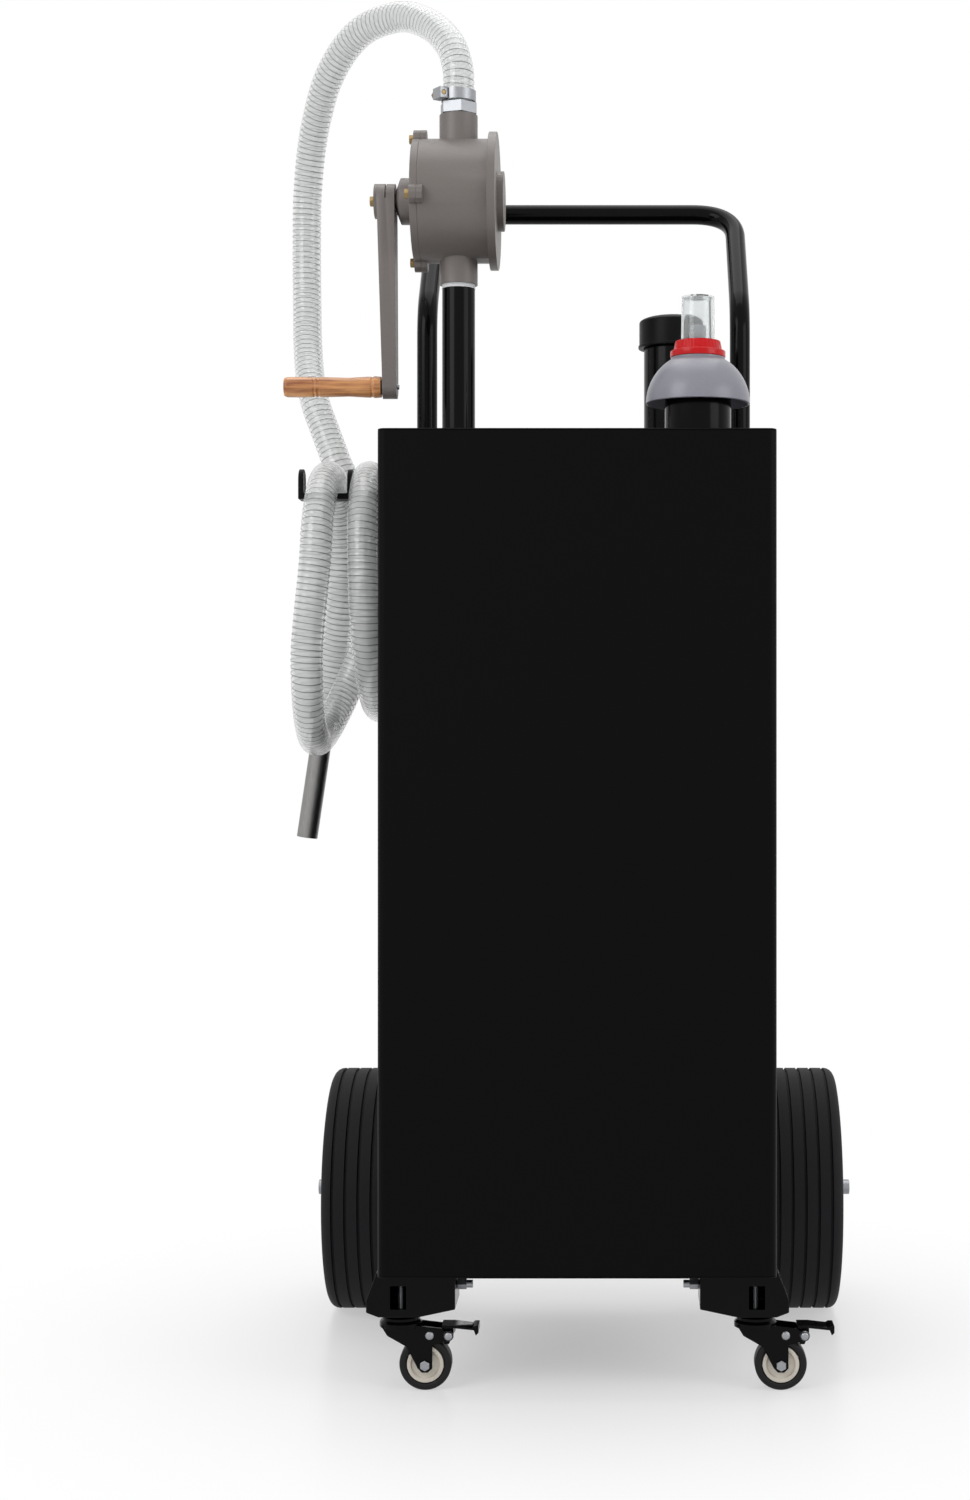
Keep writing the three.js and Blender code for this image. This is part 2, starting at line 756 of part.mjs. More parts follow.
// The turned grip spins on a pin that is riveted in the crank's foot.
function buildCrankGrip() {
  const recess_x = grip_left_x + pin_recess;
  const head_x = recess_x - running_gap;
  const tail_x = arm_foot_right_x;
  const pin_profile = [
    [0, head_x - pin_head_length],
    [pin_head_radius, head_x - pin_head_length],
    [pin_head_radius, head_x],
    [grip_pin_radius, head_x],
    [grip_pin_radius, tail_x],
    [pin_tail_radius, tail_x],
    [pin_tail_radius, tail_x + pin_tail_length],
    [0, tail_x + pin_tail_length],
  ];
  const pin = turnedX(pin_profile, small_facets);
  add("grip_pin", pin.translate(0, pump_y, crank_foot_z), ["#b9bbbd", 0.4, 0.9]);
  const washer = turnedX(tubeProfile(grip_pin_radius + seat_gap, washer_radius, washer_x, arm_foot_left_x));
  add("grip_washer", washer.translate(0, pump_y, crank_foot_z), ["#19191b", 0.5, 0.6]);
  const bore = grip_pin_radius + running_gap;
  const socket = pin_head_radius + running_gap;
  const bead_x = grip_left_x + grip_length / 3;
  const half_bead = grip_bead_width / 2;
  const grip = turnedX([
    [bore, recess_x],
    [socket, recess_x],
    [socket, grip_left_x],
    [grip_end_radius, grip_left_x],
    [grip_radius, grip_left_x + grip_rounding],
    [grip_radius, bead_x - half_bead - grip_groove_width],
    [grip_groove_radius, bead_x - half_bead],
    [grip_bead_radius, bead_x],
    [grip_groove_radius, bead_x + half_bead],
    [grip_radius, bead_x + half_bead + grip_groove_width],
    [grip_waist_radius, (bead_x + grip_right_x) / 2],
    [grip_flare_radius, grip_right_x - grip_rounding * 2],
    [grip_end_radius + grip_groove_width, grip_right_x],
    [bore, grip_right_x],
    [bore, recess_x],
  ]);
  add("crank_grip", grip.translate(0, pump_y, crank_foot_z), ["#c08f56", 0.5, 0]);
}

// The outlet's hex nut with its thread below and the hose spigot above.
function buildOutletFitting() {
  const spigot = hose_bore_radius * Math.cos(Math.PI / hose_facets) - barb_clearance;
  const bore = spigot - barb_wall;
  const top_z = nut_top_z + barb_height;
  const foot_z = port_top_z - thread_length;
  const nut_corner = nut_flat_radius / Math.cos(Math.PI / hex_facets);
  const nut = rodZ(nut_corner, nut_z, nut_top_z, 0, 0, hex_facets);
  const fitting = cut(
    join(
      nut.rotateZ(nut_turn * degree),
      rodZ(thread_radius, foot_z, nut_z, 0, 0),
      rodZ(spigot, nut_top_z, top_z, 0, 0),
    ),
    rodZ(bore, foot_z - overrun, top_z + overrun, 0, 0, small_facets),
  );
  add("outlet_fitting", fitting.translate(pipe_x, pump_y, 0), zinc);
}

// A worm-drive clamp: the band with its housing, and the screw through the housing.
function buildHoseClamp() {
  const inner = hose_radius / Math.cos(Math.PI / round_facets) + seat_gap;
  const low = nut_top_z + hose_seat + clamp_rise;
  const high = low + clamp_width;
  const middle = (low + high) / 2;
  const outer = inner + clamp_sheet;
  const half_length = clamp_box_length / 2;
  const screw_y = outer + clamp_box_depth / 2;
  const box = block(
    [-half_length, inner + clamp_sheet / 2, low],
    [half_length, outer + clamp_box_depth, high],
  );
  const screw_bore = clamp_screw_radius + seat_gap;
  const past = half_length + overrun;
  const ring = cut(rodZ(outer, low, high, 0, 0), rodZ(inner, low - overrun, high + overrun, 0, 0));
  const band = cut(join(ring, box), rodX(screw_bore, -past, past, screw_y, middle, small_facets));
  const head_x = half_length + seat_gap;
  const screw = join(
    rodX(clamp_screw_radius, -half_length, head_x, screw_y, middle, small_facets),
    rodX(clamp_head_radius, head_x, head_x + clamp_head_length, screw_y, middle, hex_facets),
  );
  const turn = (clamp_box_turn - 90) * degree;
  add("hose_clamp", band.rotateZ(turn).translate(pipe_x, pump_y, 0), zinc);
  add("clamp_screw", screw.rotateZ(turn).translate(pipe_x, pump_y, 0), yellow_zinc);
}

// Frames at the points of a tube's middle line, each with two untwisted directions across it.
function framesAt(points) {
  let normal = new THREE.Vector3(0, 1, 0);
  return points.map((point, i) => {
    const before = points[Math.max(i - 1, 0)];
    const after = points[Math.min(i + 1, points.length - 1)];
    const arriving = point.clone().sub(before).normalize();
    const tangent = after.clone().sub(point).normalize().add(arriving).normalize();
    normal = normal.clone().addScaledVector(tangent, -normal.dot(tangent)).normalize();
    return { point, normal, binormal: tangent.clone().cross(normal) };
  });
}

// A tube with rings of facets at its outer frames and at its bore's frames.
function hollowTube(frames, bore_frames, radius, bore_radius, facets) {
  const positions = [];
  const index = [];
  const ring = ({ point, normal, binormal }, ring_radius) => {
    const first = positions.length / 3;
    for (let k = 0; k < facets; k += 1) {
      const angle = (k * 2 * Math.PI) / facets;
      const spot = point.clone().addScaledVector(normal, ring_radius * Math.cos(angle));
      positions.push(...spot.addScaledVector(binormal, ring_radius * Math.sin(angle)).toArray());
    }
    return first;
  };
  const skin = (from, to) => {
    for (let k = 0; k < facets; k += 1) {
      const next = (k + 1) % facets;
      index.push(from + k, from + next, to + k);
      index.push(from + next, to + next, to + k);
    }
  };
  const outer = frames.map((frame) => ring(frame, radius));
  const inner = bore_frames.map((frame) => ring(frame, bore_radius));
  for (let i = 1; i < outer.length; i += 1) skin(outer[i - 1], outer[i]);
  for (let i = 1; i < inner.length; i += 1) skin(inner[i], inner[i - 1]);
  skin(inner[0], outer[0]);
  skin(outer.at(-1), inner.at(-1));
  const geometry = new THREE.BufferGeometry();
  geometry.setAttribute("position", new THREE.BufferAttribute(new Float32Array(positions), 3));
  geometry.setIndex(index);
  return outward(geometry);
}

// The push handle: one bent tube with two legs, two knees that lean back and a cross bar.
function buildHandle() {
  const spots = [
    [-handle_half_width, handle_leg_y, tank_top_z, 0],
    [-handle_half_width, handle_leg_y, handle_knee_z, handle_knee_run],
    [-handle_half_width, handle_bar_y, handle_bar_z, handle_corner_run],
    [handle_half_width, handle_bar_y, handle_bar_z, handle_corner_run],
    [handle_half_width, handle_leg_y, handle_knee_z, handle_knee_run],
    [handle_half_width, handle_leg_y, tank_top_z, 0],
  ];
  const corners = spots.map(([x, y, z]) => new THREE.Vector3(x, y, z));
  const path = new THREE.CurvePath();
  let last = corners[0];
  for (let i = 1; i < corners.length; i += 1) {
    const run = spots[i][3];
    const back = corners[i - 1].clone().sub(corners[i]).setLength(run);
    const start = corners[i].clone().add(back);
    path.add(new THREE.LineCurve3(last, start));
    if (run > 0) {
      const ahead = corners[i + 1].clone().sub(corners[i]).setLength(run);
      last = corners[i].clone().add(ahead);
      path.add(new THREE.QuadraticBezierCurve3(start, corners[i], last));
    }
  }
  const frames = framesAt(path.getPoints(bend_steps));
  const handle = hollowTube(frames, frames, handle_radius, handle_bore_radius, handle_facets);
  add("push_handle", handle, painted_black);
}

function buildFiller() {
  const neck = turnedZ(tubeProfile(filler_radius - filler_wall, filler_radius, tank_top_z, filler_top_z));
  add("fill_neck", neck.translate(filler_x, filler_y, 0), painted_black);
  const inner = filler_radius + running_gap;
  const ceiling = filler_top_z + running_gap;
  const dome = cap_dome_shares.map(([across, up]) => [
    cap_radius * across,
    cap_crown_z + cap_dome_rise * up,
  ]);
  const cap = turnedZ([
    [0, ceiling],
    [inner, ceiling],
    [inner, cap_skirt_z],
    [cap_radius + cap_lip, cap_skirt_z],
    [cap_radius + cap_lip, cap_skirt_z + cap_lip_height],
    [cap_radius, cap_skirt_z + cap_lip_height],
    [cap_radius, cap_crown_z],
    ...dome,
    [0, cap_crown_z + cap_dome_rise],
  ]);
  add("fill_cap", cap.translate(filler_x, filler_y, 0), ["#101012", 0.45, 0]);
}

// The gauge's neck tube, closed by a plug whose spigot carries the bowl, the collar and the vial.
function buildGaugeNeck() {
  const inner = gauge_neck_radius - gauge_neck_wall;
  const plug_z = gauge_neck_top_z - gauge_plug_thickness;
  const neck = turnedZ([
    [inner, tank_top_z],
    [gauge_neck_radius, tank_top_z],
    [gauge_neck_radius, gauge_neck_top_z],
    [spigot_radius, gauge_neck_top_z],
    [spigot_radius, spigot_top_z],
    [spigot_bore_radius, spigot_top_z],
    [spigot_bore_radius, plug_z],
    [inner, plug_z],
    [inner, tank_top_z],
  ]);
  add("gauge_neck", neck.translate(gauge_x, gauge_y, 0), painted_black);
}

// The bowl is part of a sphere, open below, with a short neck round the spigot.
function buildGaugeBowl() {
  const last = Math.acos(bowl_neck_radius / bowl_radius);
  const thin = bowl_radius - bowl_sheet;
  const outer = [];
  const inner = [];
  for (let i = 0; i <= bowl_steps; i += 1) {
    const angle = (last * i) / bowl_steps;
    outer.push([bowl_radius * Math.cos(angle), bowl_rim_z + bowl_radius * Math.sin(angle)]);
    inner.push([thin * Math.cos(angle), bowl_rim_z + thin * Math.sin(angle)]);
  }
  const seat = spigot_radius + seat_gap;
  inner.push([seat, inner[bowl_steps][1]]);
  const top = [
    [bowl_neck_radius, bowl_neck_z],
    [seat, bowl_neck_z],
  ];
  const bowl = turnedZ([...outer, ...top, ...inner.reverse(), outer[0]]);
  add("gauge_bowl", bowl.translate(gauge_x, gauge_y, 0), ["#9b9ba6", 0.4, 0]);
}

// The red collar clamps the clear vial's flange on top of the spigot.
function buildGaugeTop() {
  const seat_z = spigot_top_z + seat_gap;
  const flange = vial_radius + vial_flange;
  const flange_top_z = seat_z + vial_flange_height;
  const vial = turnedZ([
    [vial_radius - vial_sheet, seat_z],
    [flange, seat_z],
    [flange, flange_top_z],
    [vial_radius, flange_top_z],
    [vial_top_radius, vial_top_z],
    [0, vial_top_z],
    [0, vial_top_z - vial_sheet],
    [vial_top_radius - vial_sheet, vial_top_z - vial_sheet],
    [vial_radius - vial_sheet, seat_z],
  ]);
  add("gauge_vial", vial.translate(gauge_x, gauge_y, 0), clear_plastic);
  const foot_z = bowl_neck_z + seat_gap;
  const top_z = bowl_neck_z + collar_height;
  const ledge_z = flange_top_z + seat_gap;
  const collar = turnedZ([
    [spigot_radius + seat_gap, foot_z],
    [collar_flange_radius, foot_z],
    [collar_flange_radius, foot_z + collar_flange_height],
    [collar_radius, foot_z + collar_flange_height],
    [collar_top_radius, top_z],
    [vial_radius + seat_gap, top_z],
    [vial_radius + seat_gap, ledge_z],
    [spigot_radius + seat_gap, ledge_z],
    [spigot_radius + seat_gap, foot_z],
  ]);
  add("gauge_collar", collar.translate(gauge_x, gauge_y, 0), ["#d8161e", 0.35, 0]);
}

// The float rests on the empty tank's floor, and its rod carries the indicator up into the vial.
function buildGaugeFloat() {
  const rod_z = floor_top_z + float_height;
  const rise_z = indicator_foot_z + indicator_height;
  const profile = [
    [0, floor_top_z],
    [float_radius, floor_top_z],
    [float_radius, rod_z],
    [float_rod_radius, rod_z],
    [float_rod_radius, indicator_foot_z],
    [indicator_radius, indicator_foot_z],
    [indicator_radius, rise_z],
    [0, rise_z],
  ];
  const float = turnedZ(profile, small_facets);
  add("gauge_float", float.translate(gauge_x, gauge_y, 0), ["#8f9398", 0.5, 0]);
}

// A tyre with round shoulders and vee grooves round the tread, turned so that a facet meets the floor.
function tyreGeometry() {
  const outer = tyre_radius / Math.cos(Math.PI / wheel_facets);
  const half = tyre_width / 2;
  const side = [
    [tyre_bore_radius, half - tyre_bead],
    [tyre_bore_radius + tyre_bead, half],
    [outer - tyre_shoulder, half],
  ];
  for (const angle of [45, 90]) {
    const inward = tyre_shoulder * (1 - Math.sin(angle * degree));
    const sideways = tyre_shoulder * (1 - Math.cos(angle * degree));
    side.push([outer - inward, half - sideways]);
  }
  const tread = [];
  for (let i = 0; i < groove_count; i += 1) {
    const middle = (i - (groove_count - 1) / 2) * groove_pitch;
    tread.push([outer, middle - groove_width / 2]);
    tread.push([outer - groove_depth, middle]);
    tread.push([outer, middle + groove_width / 2]);
  }
  const other = side.map(([radius, x]) => [radius, -x]);
  const profile = [...other, ...tread, ...side.reverse(), other[0]];
  return turnedX(profile, wheel_facets).rotateX(Math.PI / wheel_facets);
}

function rimGeometry() {
  const outer = tyre_bore_radius * Math.cos(Math.PI / wheel_facets) - seat_gap;
  const inner = outer - rim_wall;
  const half = tyre_width / 2 - rim_inset;
  const bore = axle_radius + running_gap;
  const profile = [
    [bore, -hub_length / 2],
    [hub_radius, -hub_length / 2],
    [hub_radius, -rim_web / 2],
    [inner, -rim_web / 2],
    [inner, -half],
    [outer, -half],
    [outer, half],
    [inner, half],
    [inner, rim_web / 2],
    [hub_radius, rim_web / 2],
    [hub_radius, hub_length / 2],
    [bore, hub_length / 2],
    [bore, -hub_length / 2],
  ];
  return turnedX(profile, wheel_facets).rotateX(Math.PI / wheel_facets);
}

// The axle has a collar inside each wheel, and a nut outside it.
function buildWheels() {
  const collar_x = bracket_outer_x + seat_gap;
  const hub_x = wheel_x - hub_length / 2 - wheel_gap;
  const axle = join(
    rodX(axle_radius, -axle_half_length, axle_half_length, axle_y, tyre_radius),
    rodX(axle_collar_radius, collar_x, hub_x, axle_y, tyre_radius),
    rodX(axle_collar_radius, -hub_x, -collar_x, axle_y, tyre_radius),
  );
  add("rear_axle", axle, zinc);
  for (const [side, sign] of [["left", -1], ["right", 1]]) {
    const spot = new THREE.Group();
    spot.position.set(sign * wheel_x, axle_y, tyre_radius);
    caddy.add(spot);
    add(`tyre_${side}`, tyreGeometry(), rubber, spot);
    add(`wheel_rim_${side}`, rimGeometry(), ["#141416", 0.5, 0.3], spot);
    const nut_bore = boreRadius(axle_radius, seat_gap, hex_facets);
    const nut_end_x = axle_nut_x + axle_nut_length;
    const ring = tubeProfile(nut_bore, axle_nut_radius, axle_nut_x, nut_end_x);
    const nut = turnedX(ring, hex_facets);
    const placed = sign < 0 ? mirroredX(nut) : nut;
    add(`axle_nut_${side}`, placed.translate(0, axle_y, tyre_radius), zinc);
    const bracket = axleBracketGeometry();
    add(`axle_bracket_${side}`, sign < 0 ? mirroredX(bracket) : bracket, painted_black);
  }
}

// An angle welded on the tank's rear wall, whose cheek carries the axle.
function axleBracketGeometry() {
  const inner_x = bracket_outer_x - axle_bracket_plate;
  const top_z = tank_base_z + axle_bracket_height;
  const cheek_y = axle_y + axle_radius + axle_bracket_margin;
  const cheek = block([inner_x, rear_y, tank_base_z], [bracket_outer_x, cheek_y, top_z]);
  const flange_x = bracket_outer_x - axle_bracket_flange;
  const flange_y = rear_y + axle_bracket_plate;
  const flange = block([flange_x, rear_y, tank_base_z], [bracket_outer_x, flange_y, top_z]);
  const bore = axle_radius + seat_gap;
  const hole = rodX(bore, inner_x - overrun, bracket_outer_x + overrun, axle_y, tyre_radius);
  return cut(join(cheek, flange), hole);
}

// The bracket under the tank: a folded box with slanted edges and a window that shows the stem.
function casterBracketGeometry() {
  const inner = swivel_x - bracket_inner_reach;
  const outer = swivel_x + bracket_outer_reach;
  const sheet = bracket_sheet;
  const outline = (wall, top) => [
    [inner + wall, top],
    [inner + wall, bracket_inner_z + wall],
    [swivel_x - bracket_keel, bracket_low_z + wall],
    [swivel_x + bracket_keel, bracket_low_z + wall],
    [outer - wall, bracket_outer_z + wall],
    [outer - wall, bracket_cheek_z],
    [outer - bracket_slant - wall, top],
  ];
  const near = swivel_y - bracket_depth / 2;
  const far = swivel_y + bracket_depth / 2;
  const window_x = swivel_x - window_width / 2;
  const bolt_bore = bracket_bolt_radius + seat_gap;
  const opening = block(
    [window_x, near - overrun, window_low_z],
    [window_x + window_width, near + sheet * 2, window_high_z],
  );
  return cut(
    slabXZ(outline(0, tank_base_z), near, far),
    slabXZ(outline(sheet, tank_base_z + overrun), near + sheet, far - sheet),
    opening,
    rodZ(stem_radius + seat_gap, bracket_low_z - overrun, tank_base_z, swivel_x, swivel_y, small_facets),
    rodX(bolt_bore, inner - overrun, inner + sheet * 2, swivel_y, bracket_bolt_z, small_facets),
  );
}

function bracketBoltGeometry() {
  const face_x = swivel_x - bracket_inner_reach;
  const nut_x = face_x - bracket_nut_length;
  const end_x = face_x - bracket_bolt_reach;
  const inside_x = face_x + bracket_sheet * 2;
  return join(
    rodX(bracket_bolt_radius, end_x, inside_x, swivel_y, bracket_bolt_z, small_facets),
    rodX(bracket_nut_radius, nut_x, face_x - seat_gap, swivel_y, bracket_bolt_z, hex_facets),
  );
}

// The fork: a stepped swivel head with two cheeks down to the wheel's axle and out to the pedal.
function forkGeometry() {
  const bore = stem_radius + running_gap;
  const race_z = caster_head_z + caster_head_height / 2;
  const head = turnedZ([
    [bore, caster_head_z],
    [caster_head_radius, caster_head_z],
    [caster_head_radius, race_z - fork_sheet],
    [caster_race_radius, race_z],
    [caster_race_radius, race_z + fork_sheet],
    [caster_head_crown, head_top_z],
    [bore, head_top_z],
    [bore, caster_head_z],
  ]);
  const ear = pedal_rivet_radius;
  const heel_x = pedal_pivot_x - pedal_heel_reach - running_gap;
  const outline = [
    [-caster_race_radius, caster_head_z + fork_sheet],
    [-caster_trail / 2, pedal_pivot_z],
    [caster_trail - caster_core_radius, caster_radius + caster_core_radius],
    [caster_trail - caster_hub_radius, caster_radius - caster_axle_radius],
    [caster_trail - caster_axle_radius, caster_radius - caster_hub_radius],
    [caster_trail + caster_axle_radius, caster_radius - caster_hub_radius],
    [caster_trail + caster_hub_radius, caster_radius - caster_axle_radius],
    [caster_trail + caster_hub_radius, pedal_pivot_z - ear * 2],
    [pedal_pivot_x, pedal_pivot_z - ear],
    [pedal_pivot_x + ear, pedal_pivot_z],
    [pedal_pivot_x + fork_sheet, pedal_pivot_z + ear],
    [pedal_pivot_x - ear, pedal_pivot_z + ear],
    [heel_x, caster_head_z],
    [caster_race_radius, caster_head_z + fork_sheet],
  ];
  const inside = fork_gap / 2;
  const outside = inside + fork_sheet;
  const past = outside + overrun;
  const pin_bore = pedal_pin_radius + running_gap;
  return cut(
    join(head, slabXZ(outline, inside, outside), slabXZ(outline, -outside, -inside)),
    rodY(caster_axle_radius + running_gap, -past, past, caster_trail, caster_radius, small_facets),
    rodY(pin_bore, -past, past, pedal_pivot_x, pedal_pivot_z, small_facets),
  );
}

// The brake pedal rocks on its rivet, and its shoe swings towards the tread.
function pedalGeometry() {
  const [x, z] = [pedal_pivot_x, pedal_pivot_z];
  const ear = pedal_rivet_radius;
  const plate_z = z + ear + pedal_sheet;
  const heel_x = x - pedal_heel_reach;
  const toe_z = z + pedal_sheet;
  const plate = slabXZ(
    [
      [heel_x, plate_z + pedal_sheet],
      [heel_x, plate_z],
      [x + ear, plate_z],
      [pedal_tip_x - ear, toe_z + pedal_sheet],
      [pedal_tip_x - pedal_sheet, z],
      [pedal_tip_x, z + pedal_sheet],
      [pedal_tip_x, z + ear * 2],
      [pedal_tip_x - ear, z + ear * 2],
      [pedal_tip_x - ear * 1.5, toe_z + pedal_sheet * 2],
      [x + ear, plate_z + pedal_sheet],
    ],
    -pedal_width / 2,
    pedal_width / 2,
  );
  const web = slabXZ(
    [
      [x - ear, plate_z + pedal_sheet / 2],
      [x - ear, z - ear * 2],
      [x, z - ear * 2],
      [x + ear, z],
      [x + ear, plate_z + pedal_sheet / 2],
    ],
    -pedal_web_width / 2,
    pedal_web_width / 2,
  );
  const outside = fork_gap / 2 + fork_sheet + running_gap;
  const pin_end = outside + pedal_rivet_height;
  return join(
    plate,
    web,
    rodY(pedal_pin_radius, -pin_end, pin_end, x, z, small_facets),
    rodY(pedal_rivet_radius, -pin_end, -outside, x, z, small_facets),
    rodY(pedal_rivet_radius, outside, pin_end, x, z, small_facets),
  );
}

function casterTreadGeometry() {
  const half = caster_width / 2;
  const outer = caster_radius / Math.cos(Math.PI / round_facets);
  const inner = caster_core_radius + seat_gap;
  const tread = turnedZ([
    [inner, -half],
    [outer - caster_shoulder, -half],
    [outer, caster_shoulder - half],
    [outer, half - caster_shoulder],
    [outer - caster_shoulder, half],
    [inner, half],
    [inner, -half],
  ]);
  return tread.rotateX(Math.PI / 2).rotateY(Math.PI / round_facets);
}

function casterCoreGeometry() {
  const half = caster_width / 2;
  const bore = caster_axle_radius + running_gap;
  const outer = caster_core_radius * Math.cos(Math.PI / round_facets);
  const dish = half - caster_dish_depth;
  const core = turnedZ([
    [bore, -half],
    [caster_hub_radius, -half],
    [caster_hub_radius, -dish],
    [caster_dish_radius, -dish],
    [caster_dish_radius, -half],
    [outer, -half],
    [outer, half],
    [caster_dish_radius, half],
    [caster_dish_radius, dish],
    [caster_hub_radius, dish],
    [caster_hub_radius, half],
    [bore, half],
    [bore, -half],
  ]);
  return core.rotateX(Math.PI / 2);
}

function casterAxleGeometry() {
  const face = fork_gap / 2 + fork_sheet + seat_gap;
  const end = face + caster_nut_length;
  return join(
    rodY(caster_axle_radius, -end, end, 0, 0, small_facets),
    rodY(caster_nut_radius, -end, -face, 0, 0, hex_facets),
    rodY(caster_nut_radius, face, end, 0, 0, hex_facets),
  );
}

function casterStemGeometry() {
  const foot_z = caster_head_z - running_gap - stem_foot_length;
  return join(
    rodZ(stem_radius, foot_z, tank_base_z - seat_gap, 0, 0, small_facets),
    rodZ(stem_foot_radius, foot_z, foot_z + stem_foot_length, 0, 0, small_facets),
  );
}

function buildCasters() {
  for (const [side, sign] of [["left", -1], ["right", 1]]) {
    const bracket = casterBracketGeometry();
    const bolt = bracketBoltGeometry();
    add(`caster_bracket_${side}`, sign < 0 ? mirroredX(bracket) : bracket, painted_black);
    add(`bracket_bolt_${side}`, sign < 0 ? mirroredX(bolt) : bolt, zinc);
    const spot = new THREE.Group();
    spot.position.set(sign * swivel_x, swivel_y, 0);
    caddy.add(spot);
    add(`caster_stem_${side}`, casterStemGeometry(), zinc, spot);
    add(`caster_fork_${side}`, forkGeometry(), painted_black, spot);
    add(`brake_pedal_${side}`, pedalGeometry(), painted_black, spot);
    const hub = new THREE.Group();
    hub.position.set(caster_trail, 0, caster_radius);
    spot.add(hub);
    add(`caster_tread_${side}`, casterTreadGeometry(), rubber, hub);
    add(`caster_core_${side}`, casterCoreGeometry(), ["#cfc8bd", 0.5, 0], hub);
    add(`caster_axle_${side}`, casterAxleGeometry(), zinc, hub);
  }
}

// An upright prong of the hook with a round top.
function prongGeometry(x, foot_z) {
  const half = hook_width / 2;
  const shape = new THREE.Shape();
  shape.moveTo(pump_y - half, foot_z);
  shape.lineTo(pump_y + half, foot_z);
  shape.absarc(pump_y, foot_z + prong_length - half, half, 0, Math.PI, false);
  return slabYZ(shape, x - prong_thickness / 2, x + prong_thickness / 2);
}

// The hook: a plate on the tank's side, a bar out from it and two prongs that keep the loops apart.
function buildHook() {
  const loop = coil_half_turns[1];
  const inside = loop.radius - hose_radius;
  const top_z = tank_top_z + loop.z + Math.sqrt(inside ** 2 - (hook_width / 2) ** 2) - seat_gap;
  const low_z = top_z - hook_bar;
  const half_plate = hook_plate_size / 2;
  const plate = block(
    [-half_width - hook_plate_thickness, pump_y - half_plate, low_z - half_plate],
    [-half_width, pump_y + half_plate, low_z + half_plate],
  );
  const bar = block(
    [hook_outer_x - prong_thickness / 2, pump_y - hook_width / 2, low_z],
    [-half_width, pump_y + hook_width / 2, top_z],
  );
  const hook = join(plate, bar, prongGeometry(hook_outer_x, low_z), prongGeometry(hook_inner_x, low_z));
  add("hose_hook", hook, ["#0d0d0f", 0.5, 0.1]);
}

// A point of the hose's route: y counts from the pump's axis and z from the tank's top.
const toVector = ([x, y, z]) => new THREE.Vector3(x, pump_y + y, tank_top_z + z);

// The sideways place along a half turn: a sine swing out to its middle and back.
function driftX([start, middle, end], share) {
  const from = share < 0.5 ? start : end;
  return from + (middle - from) * Math.sin(share * Math.PI);
}

// The coil's points: its way in, each half turn as an arc, and its way out.
function coilPoints() {
  const points = coil_entry_points.map(toVector);
  for (const turn of coil_half_turns) {
    for (let i = 0; i <= half_turn_steps; i += 1) {
      const share = i / half_turn_steps;
      const side = turn.over ? -Math.cos(share * Math.PI) : Math.cos(share * Math.PI);
      const lift = turn.over ? Math.sin(share * Math.PI) : -Math.sin(share * Math.PI);
      const [y, z] = [turn.y + turn.radius * side, turn.z + turn.radius * lift];
      points.push(toVector([driftX(turn.x, share), y, z]));
    }
  }
  return [...points, ...coil_exit_points.map(toVector)];
}

// The hose between two lengths along its route: a bore ring at every second outer ring.
function hoseTube(curve, start, end) {
  const count = Math.round((end - start) / hose_ring_pitch / 2) * 2;
  const length = curve.getLength();
  const points = [];
  for (let i = 0; i <= count; i += 1) {
    points.push(curve.getPointAt((start + ((end - start) * i) / count) / length));
  }
  const frames = framesAt(points);
  const bore_frames = frames.filter((frame, i) => i % 2 === 0);
  return hollowTube(frames, bore_frames, hose_radius, hose_bore_radius, hose_facets);
}

// The least room between two stretches of the hose that aren't neighbours along it.
function leastSelfGap(points) {
  const apart = Math.ceil((hose_radius * Math.PI) / gap_sample);
  let least = Infinity;
  for (let i = 0; i < points.length; i += 1) {
    for (let j = i + apart; j < points.length; j += 1) {
      least = Math.min(least, points[i].distanceTo(points[j]) - hose_radius * 2);
    }
  }
  return least;
}

// The hose: the free lead and the coil, face to face, and the nozzle at the coil's end.
function buildHose() {
  const lead = new THREE.CatmullRomCurve3(lead_points.map(toVector));
  const coil = new THREE.CatmullRomCurve3(coilPoints());
  lead.arcLengthDivisions = 1000;
  coil.arcLengthDivisions = 2000;
  const [lead_length, coil_length] = [lead.getLength(), coil.getLength()];
  add("hose_lead", hoseTube(lead, 0, lead_length - seat_gap / 2), clear_plastic);
  add("hose_coil", hoseTube(coil, seat_gap / 2, coil_length), clear_plastic);
  const samples = [
    ...lead.getSpacedPoints(Math.round(lead_length / gap_sample)),
    ...coil.getSpacedPoints(Math.round(coil_length / gap_sample)).slice(1),
  ];
  console.log(`hose length ${(lead_length + coil_length).toFixed(0)} mm, lead ${lead_length.toFixed(0)} mm`);
  console.log(`least gap of the hose to itself ${leastSelfGap(samples).toFixed(2)} mm`);
  buildNozzle(coil.getPointAt(1), coil.getTangentAt(1));
}

// The metal nozzle carries on straight from the hose's end.
function buildNozzle(end, direction) {
  const bore = nozzle_radius - nozzle_wall;
  const nozzle = turnedZ([
    [bore, seat_gap],
    [hose_radius, seat_gap],
    [hose_radius, nozzle_collar_length],
    [nozzle_radius, nozzle_collar_length],
    [nozzle_radius, nozzle_length],
    [bore, nozzle_length],
    [bore, seat_gap],
  ]);
  nozzle.applyQuaternion(new THREE.Quaternion().setFromUnitVectors(new THREE.Vector3(0, 0, 1), direction));
  add("hose_nozzle", nozzle.translate(...end.toArray()), ["#a9a6a3", 0.35, 0.9]);
}

buildTank();
buildSuctionPipe();
buildPumpHousing();
buildPumpCover();
buildRotor();
buildCrankArm();
buildCrankGrip();
buildOutletFitting();
buildHoseClamp();
buildHandle();
buildFiller();
buildGaugeNeck();
buildGaugeBowl();
buildGaugeTop();
buildGaugeFloat();
buildWheels();
buildCasters();
buildHook();
buildHose();

export default caddy;
